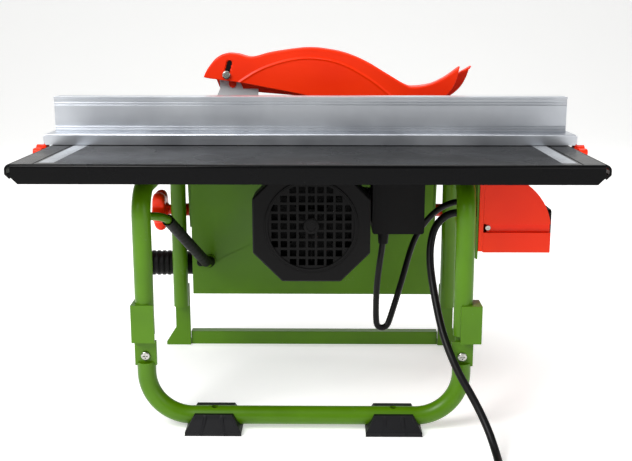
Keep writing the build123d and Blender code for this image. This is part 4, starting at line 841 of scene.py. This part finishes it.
@dataclass
class GuardShells:
    """The two orange halves of the guard, with a raised bead that follows the disc and a screw slot.

    Heights are above the table and X runs along it, both in millimetres. The far half has a longer tail and
    hangs lower near the pivot, by the share in hang_share at the places in hang_x.
    """

    middle: float = 93.5
    half: float = 15.0
    wall: float = 2.2
    table: float = 255.0
    edge: float = 2.6
    top: np.ndarray = field(default_factory=lambda: np.array([
        (-119.4, 59.5), (-117.2, 65.0), (-113.5, 71.0), (-105.1, 80.5), (-94.5, 85.6), (-81.8, 85.0),
        (-66.0, 81.8), (-43.8, 87.1), (-6.0, 92.0), (19.4, 90.1), (40.4, 85.3), (61.9, 76.1),
        (83.0, 63.7), (104.1, 51.5), (114.3, 49.4), (129.5, 51.9), (146.4, 59.5), (163.3, 71.3)]))
    low: np.ndarray = field(default_factory=lambda: np.array([
        (-119.4, 59.5), (-112.0, 58.0), (-82.2, 54.0), (-50.0, 48.0), (-16.0, 41.6), (22.0, 33.5),
        (60.0, 28.5), (95.0, 27.2), (128.0, 29.0), (143.0, 34.5), (154.0, 45.0), (160.0, 57.5),
        (163.3, 71.3)]))
    bead: np.ndarray = field(default_factory=lambda: np.array([
        (-90.0, 45.0), (-81.0, 53.0), (-60.0, 66.0), (-40.0, 74.0), (-20.0, 78.8), (-1.5, 80.2), (20.0, 77.8),
        (40.0, 71.2), (60.0, 60.0), (75.0, 49.5), (96.0, 32.0)]))
    slot: tuple[float, float, float, float] = (-94.0, 62.0, -90.5, 75.0)
    slot_r: float = 3.4
    slot_sunk: float = 1.7
    slot_slope: float = 0.5
    # Painted shade: a black strip at the bottom of the sunk screw slot stands for the dark seen through it;
    # its half width, half thickness, and how far in from the shell's outside it lies.
    lining: tuple[float, float] = (2.9, 0.3)
    slot_shade_in: float = 1.75
    tab: tuple[float, float, float, float] = (-88.5, 91.4, 64.0, 51.5)
    tab_size: tuple[float, float] = (4.2, 0.8)
    bead_rise: float = 1.4
    bead_half: float = 1.7
    bead_fade: float = 4.0
    step: float = 0.5
    step_run: float = 1.2
    far_tail: float = 15.0
    far_hang: float = 12.0
    hang_x: tuple[float, ...] = (-109.0, -104.0, -82.0, -16.0, 30.0)
    hang_share: tuple[float, ...] = (0.0, 1.0, 0.9, 0.35, 0.0)
    tail_x: float = 120.0
    tail_run: float = 43.3

    def edges(self, count: int, tail: float, hang: float) -> tuple[np.ndarray, np.ndarray, np.ndarray]:
        """Places along X with the upper and the lower edge over each.

        Args:
            count: How many places.
            tail: How far this half's tail reaches past the other, in millimetres.
            hang: How much lower its edge hangs near the pivot, in millimetres.

        Returns:
            X, upper height and lower height.
        """
        upper, lower = smooth_curve(self.top, 900), smooth_curve(self.low, 900)
        share = (1 - np.cos(np.linspace(0, math.pi, count))) / 2
        x = self.top[0, 0] + share * (self.top[-1, 0] - self.top[0, 0])
        high = np.interp(x, np.maximum.accumulate(upper[:, 0]), upper[:, 1])
        deep = np.interp(x, np.maximum.accumulate(lower[:, 0]), lower[:, 1])
        deep = deep - hang * np.interp(x, self.hang_x, self.hang_share)
        longer = tail * np.clip((x - self.tail_x) / self.tail_run, 0, 1)
        return x + longer, high, np.minimum(deep, high - 0.02)

    def relief(self, x: np.ndarray, h: np.ndarray) -> np.ndarray:
        """How far the side wall stands proud: the bead is a raised cosine about its curve, and the slot
        is sunk within its radius of a short line.

        Args:
            x: Places along the table.
            h: Heights above it.

        Returns:
            Millimetres, positive outwards.
        """
        line = smooth_curve(self.bead, 400)
        height, slope = np.interp(x, line[:, 0], line[:, 1]), np.interp(
            x, line[:, 0], np.gradient(line[:, 1], line[:, 0]))
        off = (h - height) / np.hypot(1, slope)
        ends = (np.clip((x - self.bead[0, 0]) / self.bead_fade, 0, 1)
                * np.clip((self.bead[-1, 0] - x) / self.bead_fade, 0, 1))
        wave = (1 + np.cos(np.pi * off / self.bead_half)) / 2
        raised = self.bead_rise * np.where(np.abs(off) < self.bead_half, wave, 0) * ends
        step = self.step * np.clip(-off / self.step_run, 0, 1) * ends
        x0, h0, x1, h1 = self.slot
        t = np.clip(((x - x0) * (x1 - x0) + (h - h0) * (h1 - h0)) / ((x1 - x0) ** 2 + (h1 - h0) ** 2), 0, 1)
        away = np.hypot(x - x0 - t * (x1 - x0), h - h0 - t * (h1 - h0))
        return raised + step - self.slot_sunk * np.clip((self.slot_r - away) / self.slot_slope, 0, 1)

    def shell(self, name: str, side: int, tail: float, hang: float) -> bpy.types.Object:
        """One half: a closed section of roof, rounded corner, side wall and lip, carried along X.

        Args:
            name: The piece's name.
            side: -1 for the near half, 1 for the far half.
            tail: How far the tail reaches past the other half's.
            hang: How much lower the edge hangs near the pivot.

        Returns:
            The closed shell.
        """
        x, high, deep = self.edges(260, tail, hang)
        room = high - deep
        edge = np.minimum(self.edge, 0.45 * room)[:, None]
        wall = np.minimum(self.wall, 0.45 * room)[:, None]
        high, deep = high[:, None], deep[:, None]
        turn = np.linspace(0, math.pi / 2, 7)[None, 1:]
        down = np.linspace(0, 1, 62)[None, 1:]
        outer = self.half
        roof_y = np.linspace(0.1, 1, 5)[None, :] * (outer - edge)
        roof_z = high + 0 * roof_y
        arc_y, arc_z = outer - edge + edge * np.sin(turn), high - edge + edge * np.cos(turn)
        lip = 0.7 * np.minimum(1.0, wall)
        side_z = (high - edge) + (deep + lip - high + edge) * down
        side_y = outer + 0 * side_z + self.relief(np.broadcast_to(x[:, None], side_z.shape), side_z)
        lip_y, lip_z = outer - lip + lip * np.cos(turn), deep + lip - lip * np.sin(turn)
        inner_z = deep + (high - wall - deep) * np.linspace(0, 1, 16)[None]
        inner_y = outer - wall + 0 * inner_z
        back_y = np.linspace(1, 0.1, 5)[None, 1:] * (outer - wall)
        back_z = high - wall + 0 * back_y
        y = np.concatenate([roof_y, arc_y, side_y, lip_y, inner_y, back_y], 1)
        z = np.concatenate([roof_z, arc_z, side_z, lip_z, inner_z, back_z], 1)
        along = np.broadcast_to(x[:, None], y.shape)
        points = np.stack([along, self.middle + side * y, self.table + z], -1) * MM
        columns = y.shape[1]
        faces = grid_faces(len(x), columns, wrap_columns=True)
        faces += [list(range(columns)), list(range((len(x) - 1) * columns, len(x) * columns))]
        return new_mesh(name, points, faces, 50.0)

    def build(self) -> None:
        """Make both halves, a black strip of painted shade at the bottom of the screw slot, and the tab at
        the pivot.
        """
        halves = (("guard_near_half", -1, 0.0, 0.0, "near_guard_shell"),
                  ("guard_far_half", 1, self.far_tail, self.far_hang, "far_guard_shell"))
        for name, side, tail, hang, node in halves:
            attach(self.shell(name, side, tail, hang), "orange_plastic", "blade_guard", node)
        x0, h0, x1, h1 = self.slot
        # Painted shade: a thin black strip on the floor of the sunk slot stands for the dark seen through the
        # slot.
        slot_shade_y = self.middle - self.half + self.slot_shade_in
        line = np.array([(x0, slot_shade_y, self.table + h0), (x1, slot_shade_y, self.table + h1)]) * MM
        width, thick = (size * MM for size in self.lining)
        attach(ribbon("guard_slot_painted_shade", line, width, thick), "black_plastic", "blade_guard")
        tab_x, tab_y, tab_top, tab_foot = self.tab
        tab = np.array([(tab_x, tab_y, self.table + tab_top), (tab_x, tab_y, self.table + tab_foot)]) * MM
        width, thick = (size * MM for size in self.tab_size)
        attach(ribbon("guard_pivot_tab", tab, width, thick), "orange_plastic", "blade_guard")
        LOG.info("guard shells ready")


@dataclass
class LockKnobs:
    """Five-lobed clamping knobs, one each end, whose rounded lobes stand out from a waisted hub.

    The waist lists how much wider than the hub it is, and how far in from the middle of the head.
    """

    radius: float = 24.6
    hub: float = 7.4
    axis_y: float = 98.5
    axis_z: float = 162.0
    lobes: int = 5
    depth: float = 0.36
    cap_r: float = 6.0
    cap_in: float = 3.5
    middle_in: float = 7.9
    head_half: float = 7.6
    neck_r: float = 9.0
    fullness: float = 0.55
    waist: tuple[tuple[float, float], ...] = ((1.2, 8.4), (-1.6, 10.5), (-1.8, 22.0), (0.0, 24.0))

    def build(self) -> None:
        """Turn the profile about X: a rounded head, a short neck and a hub."""
        head = np.linspace(-math.pi / 2, math.pi / 2, 25)
        for name, side, node, body in (("rear_knob_moulding", -1, "rear_lock_knob", "rear_knob"),
                                       ("front_knob_moulding", 1, "front_lock_knob", "front_knob")):
            low, high = (c[0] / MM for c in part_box(node))
            outer, inner = (low, high) if side < 0 else (high, low)
            outer -= side * self.cap_in
            middle = outer - side * self.middle_in
            bulge_r = self.neck_r + (self.radius - self.neck_r) * np.cos(head) ** self.fullness
            bulge_x = middle + side * -self.head_half * np.sin(head)
            cap = [(0.0, outer), (self.cap_r, outer)]
            tail = [(self.hub + wider, middle - side * inwards) for wider, inwards in self.waist]
            profile = np.array([*cap, *zip(bulge_r, bulge_x), *tail, (self.hub, inner), (0.0, inner)]) * MM
            knob = turned(name, profile, (0.0, self.axis_y * MM, self.axis_z * MM), "x", 160, self.lobes,
                          self.depth, phase=math.pi / 2)
            attach(knob, "orange_plastic", body, node)
        LOG.info("lock knobs ready")


@dataclass
class HeightLever:
    """Dressing of the height lever: a rubber grip open at its end, a boot at its foot and a stop ball.

    The rod's end lists places past the end of the grip, each with the radius there.
    """

    foot: tuple[float, float, float] = (-115.6, 48.5, 109.0)
    end: tuple[float, float, float] = (-139.2, -85.0, 189.8)
    foot_gap: float = 4.5
    end_gap: float = 9.5
    grip: float = 5.7
    ridge: float = 0.04
    ridges: int = 17
    bore: float = 4.05
    foot_rim: tuple[float, float] = (5.0, 5.5)
    end_rim: tuple[float, float, float] = (5.7, 5.9, 5.3)
    panel_y: float = 64.0
    boot_y: float = 56.0
    boot_r: tuple[float, ...] = (0.1, 6.6, 6.2, 4.9, 5.0)
    boot_at: tuple[float, ...] = (0.0, 0.05, 0.2, 0.5, 1.0)
    rod_end: tuple[tuple[float, float], ...] = (
        (-3.0, 0.1), (-2.9, 4.0), (0.55, 4.0), (0.8, 3.7), (0.85, 0.1))
    stop: tuple[float, float, float] = (-126.0, 64.2, 107.0)
    stop_r: float = 4.4

    def build(self) -> None:
        """Make the grip over the rod's slope, its boot and the ball on the panel."""
        foot, end = np.array(self.foot), np.array(self.end)
        ahead = (end - foot) / np.linalg.norm(end - foot)
        start, stop = foot + ahead * self.foot_gap, end - ahead * self.end_gap
        # Three rings round the grip's foot, forty carry its ridges, and the last five roll its end inwards.
        t = np.r_[0.0, 0.012, 0.03, np.linspace(0.05, 0.97, 40), 0.985, 1.0, 1.0, 1.0, 0.9]
        swell = 1 + self.ridge * np.cos(np.linspace(0, self.ridges * TAU, len(t)))
        radius = self.grip * swell
        radius[:3] = (self.bore, *self.foot_rim)
        radius[-5:] = (*self.end_rim, self.bore, self.bore)
        line = start + t[:, None] * (stop - start)
        sleeve = open_tube("lever_grip", line * MM, radius * MM)
        attach(sleeve, "sleeve_rubber", "height_lever", "lever_sleeve")
        bend = smooth_curve(np.array([(foot[0], self.panel_y, foot[2]), (foot[0], self.boot_y, foot[2]),
                                      foot + ahead * 3.0 + [0, 2, 1], foot + ahead * 12.0]), 24)
        size = np.interp(np.linspace(0, 1, 24), self.boot_at, self.boot_r)
        boot = tube_along("lever_boot", bend * MM, size * MM, 32)
        attach(boot, "black_plastic", "height_lever")
        past, rod_r = np.array(self.rod_end).T
        plug = tube_along("lever_rod_end", (stop + np.outer(past, ahead)) * MM, rod_r * MM, 32)
        attach(plug, "green_powder_coat", "height_lever")
        angle = np.linspace(-math.pi / 2, math.pi / 2, 19)
        profile = np.stack([self.stop_r * np.cos(angle), self.stop_r * np.sin(angle)], 1) * MM
        ball = turned("lever_stop_ball", profile, tuple(c * MM for c in self.stop), "y", 32)
        attach(ball, "black_plastic", "tilt_carrier")
        LOG.info("height lever ready")


@dataclass
class FenceEnds:
    """Grey caps over the fence's ends and the orange hooks that hold it to the table."""

    cap_x: tuple[float, float] = (260.1, 262.4)
    cap_y: tuple[float, float] = (-52.0, -39.0)
    cap_z: tuple[float, float] = (256.2, 264.4)
    hook_x: tuple[float, float] = (259.9, 262.5)
    hook_y: tuple[float, float] = (-51.4, -39.6)
    hook_z: tuple[float, float] = (238.0, 256.1)
    toe_x: tuple[float, float] = (258.6, 262.5)
    toe_z: tuple[float, float] = (237.6, 240.9)
    edge: float = 0.6

    def build(self) -> None:
        """Make a cap, a hook and the hook's toe at each end, in place of the plain clamps."""
        for side, place in ((-1, "rear"), (1, "front")):
            pieces = (("fence_cap", self.cap_x, self.cap_y, self.cap_z, "fence_aluminium"),
                      ("fence_hook", self.hook_x, self.hook_y, self.hook_z, "orange_plastic"),
                      ("fence_hook_toe", self.toe_x, self.hook_y, self.toe_z, "orange_plastic"))
            for name, (inner, outer), (y0, y1), (z0, z1), slot_name in pieces:
                x0, x1 = sorted((side * inner, side * outer))
                piece = slab(f"{place}_{name}", (x0, y0, z0), (x1, y1, z1), self.edge)
                attach(piece, slot_name, "fence", "fence_clamps")
        LOG.info("fence ends ready")


@dataclass
class RubberFeet:
    """Cheeks on the near walls of the feet, each with a sunk face and two ribs.

    A cheek's front is a grid over a trapezium whose sloping edges curve inwards. The toe, and the ribs'
    places and widths, are shares of the cheek's height and of its half width.
    """

    centres: tuple[float, float] = (-87.5, 79.5)
    low_half: float = 26.3
    high_half: float = 17.4
    flare: float = 1.7
    toe: float = 0.2
    toe_in: float = 2.0
    ground: float = 0.15
    rise: float = 17.6
    front_y: float = -167.3
    back_y: float = -165.6
    lean: float = 7.4
    sunk: float = 0.5
    rib_at: tuple[float, float] = (-0.44, 0.44)
    rib_rise: float = 0.9
    rib_half: float = 0.09
    rib_slope: float = 0.03

    def ribs(self, share: np.ndarray) -> np.ndarray:
        """Height of the ribs over a row that runs from -1 to 1.

        Args:
            share: Places across the wall.

        Returns:
            Millimetres forwards.
        """
        total = np.zeros_like(share)
        for place in self.rib_at:
            total += self.rib_rise * np.clip((self.rib_half - np.abs(share - place)) / self.rib_slope, 0, 1)
        return total

    def wall(self, name: str, centre: float) -> bpy.types.Object:
        """One ribbed cheek as a closed sheet that leans back with the wall behind it.

        Args:
            name: The piece's name.
            centre: Its middle along X in millimetres.

        Returns:
            The closed cheek.
        """
        up = np.linspace(0.0, 1.0, 22)[:, None]
        share = np.linspace(-1.0, 1.0, 97)[None, :]
        flank = self.high_half + (self.low_half - self.high_half) * (1 - up) ** self.flare
        flank = np.where(up < self.toe, self.low_half - self.toe_in * up / self.toe, flank)
        x = centre + flank * share
        z = self.ground + self.rise * up + 0 * share
        inside = (np.clip(up / 0.12, 0, 1) * np.clip((1 - up) / 0.1, 0, 1)
                  * np.clip((1 - np.abs(share)) / 0.05, 0, 1))
        front = self.front_y + self.lean * up + 0 * share - inside * (self.ribs(share) - self.sunk)
        back = self.back_y + self.lean * up + 0 * share
        rows, columns = x.shape
        points = np.concatenate([np.stack([x, front, z], -1), np.stack([x, back, z], -1)]) * MM
        count = rows * columns
        skin = grid_faces(rows, columns)
        faces = skin + [[i + count for i in face[::-1]] for face in skin]
        rim = ([c for c in range(columns)] + [r * columns + columns - 1 for r in range(1, rows)]
               + [(rows - 1) * columns + c for c in range(columns - 2, -1, -1)]
               + [r * columns for r in range(rows - 2, 0, -1)])
        faces += [[a, a + count, b + count, b] for a, b in zip(rim, rim[1:] + rim[:1])]
        return new_mesh(name, points, faces, 30.0)

    def build(self) -> None:
        """Add the cheeks in front of the feet."""
        for name, centre in zip(("rear_foot_cheek", "front_foot_cheek"), self.centres):
            attach(self.wall(name, centre), "foot_rubber", "frame")
        LOG.info("feet ready")


@dataclass
class FanCoverTrim:
    """The moulded ring round the grille and the boss in its centre.

    Each outline lists a radius and how far behind the cover's front it lies.
    """

    axis: tuple[float, float] = (3.0, 191.0)
    front: float = -135.6
    ring: tuple[tuple[float, float], ...] = (
        (41.4, 1.2), (41.4, 0.2), (41.9, -0.25), (42.7, -0.25), (43.2, 0.2), (43.2, 1.2))
    boss: tuple[tuple[float, float], ...] = (
        (0.0, 1.5), (6.9, 1.5), (6.9, -0.2), (6.3, -0.4), (4.4, -0.4), (3.9, 0.9), (1.6, 1.1), (0.0, 1.1))

    def build(self) -> None:
        """Turn both about the motor's axis."""
        centre = (self.axis[0] * MM, 0.0, self.axis[1] * MM)
        outlines = (("fan_cover_ring", self.ring, True), ("fan_cover_boss", self.boss, False))
        for name, outline, closed in outlines:
            profile = np.array([(r, self.front + behind) for r, behind in outline]) * MM
            attach(turned(name, profile, centre, "y", 120, wrap=closed), "black_plastic", "motor_carriage")
        LOG.info("fan cover trim ready")


SOFTENED: dict[str, float] = {
    # Edge radii in millimetres of the parts whose sheet, casting or moulding is softly edged.
    "table_top": 0.5, "fence_base": 0.4, "fence_rail": 0.35, "leg_brackets": 0.6, "post_feet": 0.5,
    "far_crossbar": 0.6, "motor_panel": 0.5, "end_plates": 0.5, "table_straps": 0.8, "switch_bracket": 0.5,
    "switch_housing": 1.2, "switch_frame": 0.5, "junction_box": 0.8, "near_disc_case": 0.6,
    "far_disc_case": 0.6, "case_outlet": 0.8, "rear_clamp_lever": 0.7,
    "front_clamp_lever": 0.7, "rubber_feet": 0.7, "dust_port": 0.4, "slide_plate": 0.4, "knife_clamp": 0.4,
    "throat_insert": 0.3, "end_shields": 0.6, "fan_cover": 0.25, "riving_knife": 0.2, "stop_button": 0.5,
    "start_button": 0.5,
}


def soften(node: bpy.types.Object, radius_mm: float) -> None:
    """Merge a CAD node's corners and round its sharp edges with modifiers, leaving its mesh alone.

    Args:
        node: The CAD node.
        radius_mm: The edge's radius in millimetres.
    """
    weld = node.modifiers.new("join_corners", "WELD")
    weld.merge_threshold = 1e-5
    bevel = node.modifiers.new("soft_edges", "BEVEL")
    bevel.width = radius_mm * MM
    bevel.segments = 2
    bevel.limit_method = "ANGLE"
    bevel.angle_limit = math.radians(34)
    bevel.use_clamp_overlap = True
    bevel.harden_normals = True


def dress_cad_nodes() -> None:
    """Give every CAD node the finish of its record slot, and soften the edges of those listed."""
    for name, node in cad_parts.items():
        slot_name = node.data.materials[0].name.split(".")[0]
        Paint.dress(node, slot_name)
        if name in SOFTENED:
            soften(node, SOFTENED[name])
    LOG.info("%d CAD nodes dressed", len(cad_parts))


def main() -> None:
    """Build the studio, the cords and every piece in order."""
    Studio().build()
    MainsCord().build()
    MotorLead().build()
    GuardShells().build()
    LockKnobs().build()
    HeightLever().build()
    FenceEnds().build()
    RubberFeet().build()
    FanCoverTrim().build()
    dress_cad_nodes()


if __name__ == "__main__":
    main()
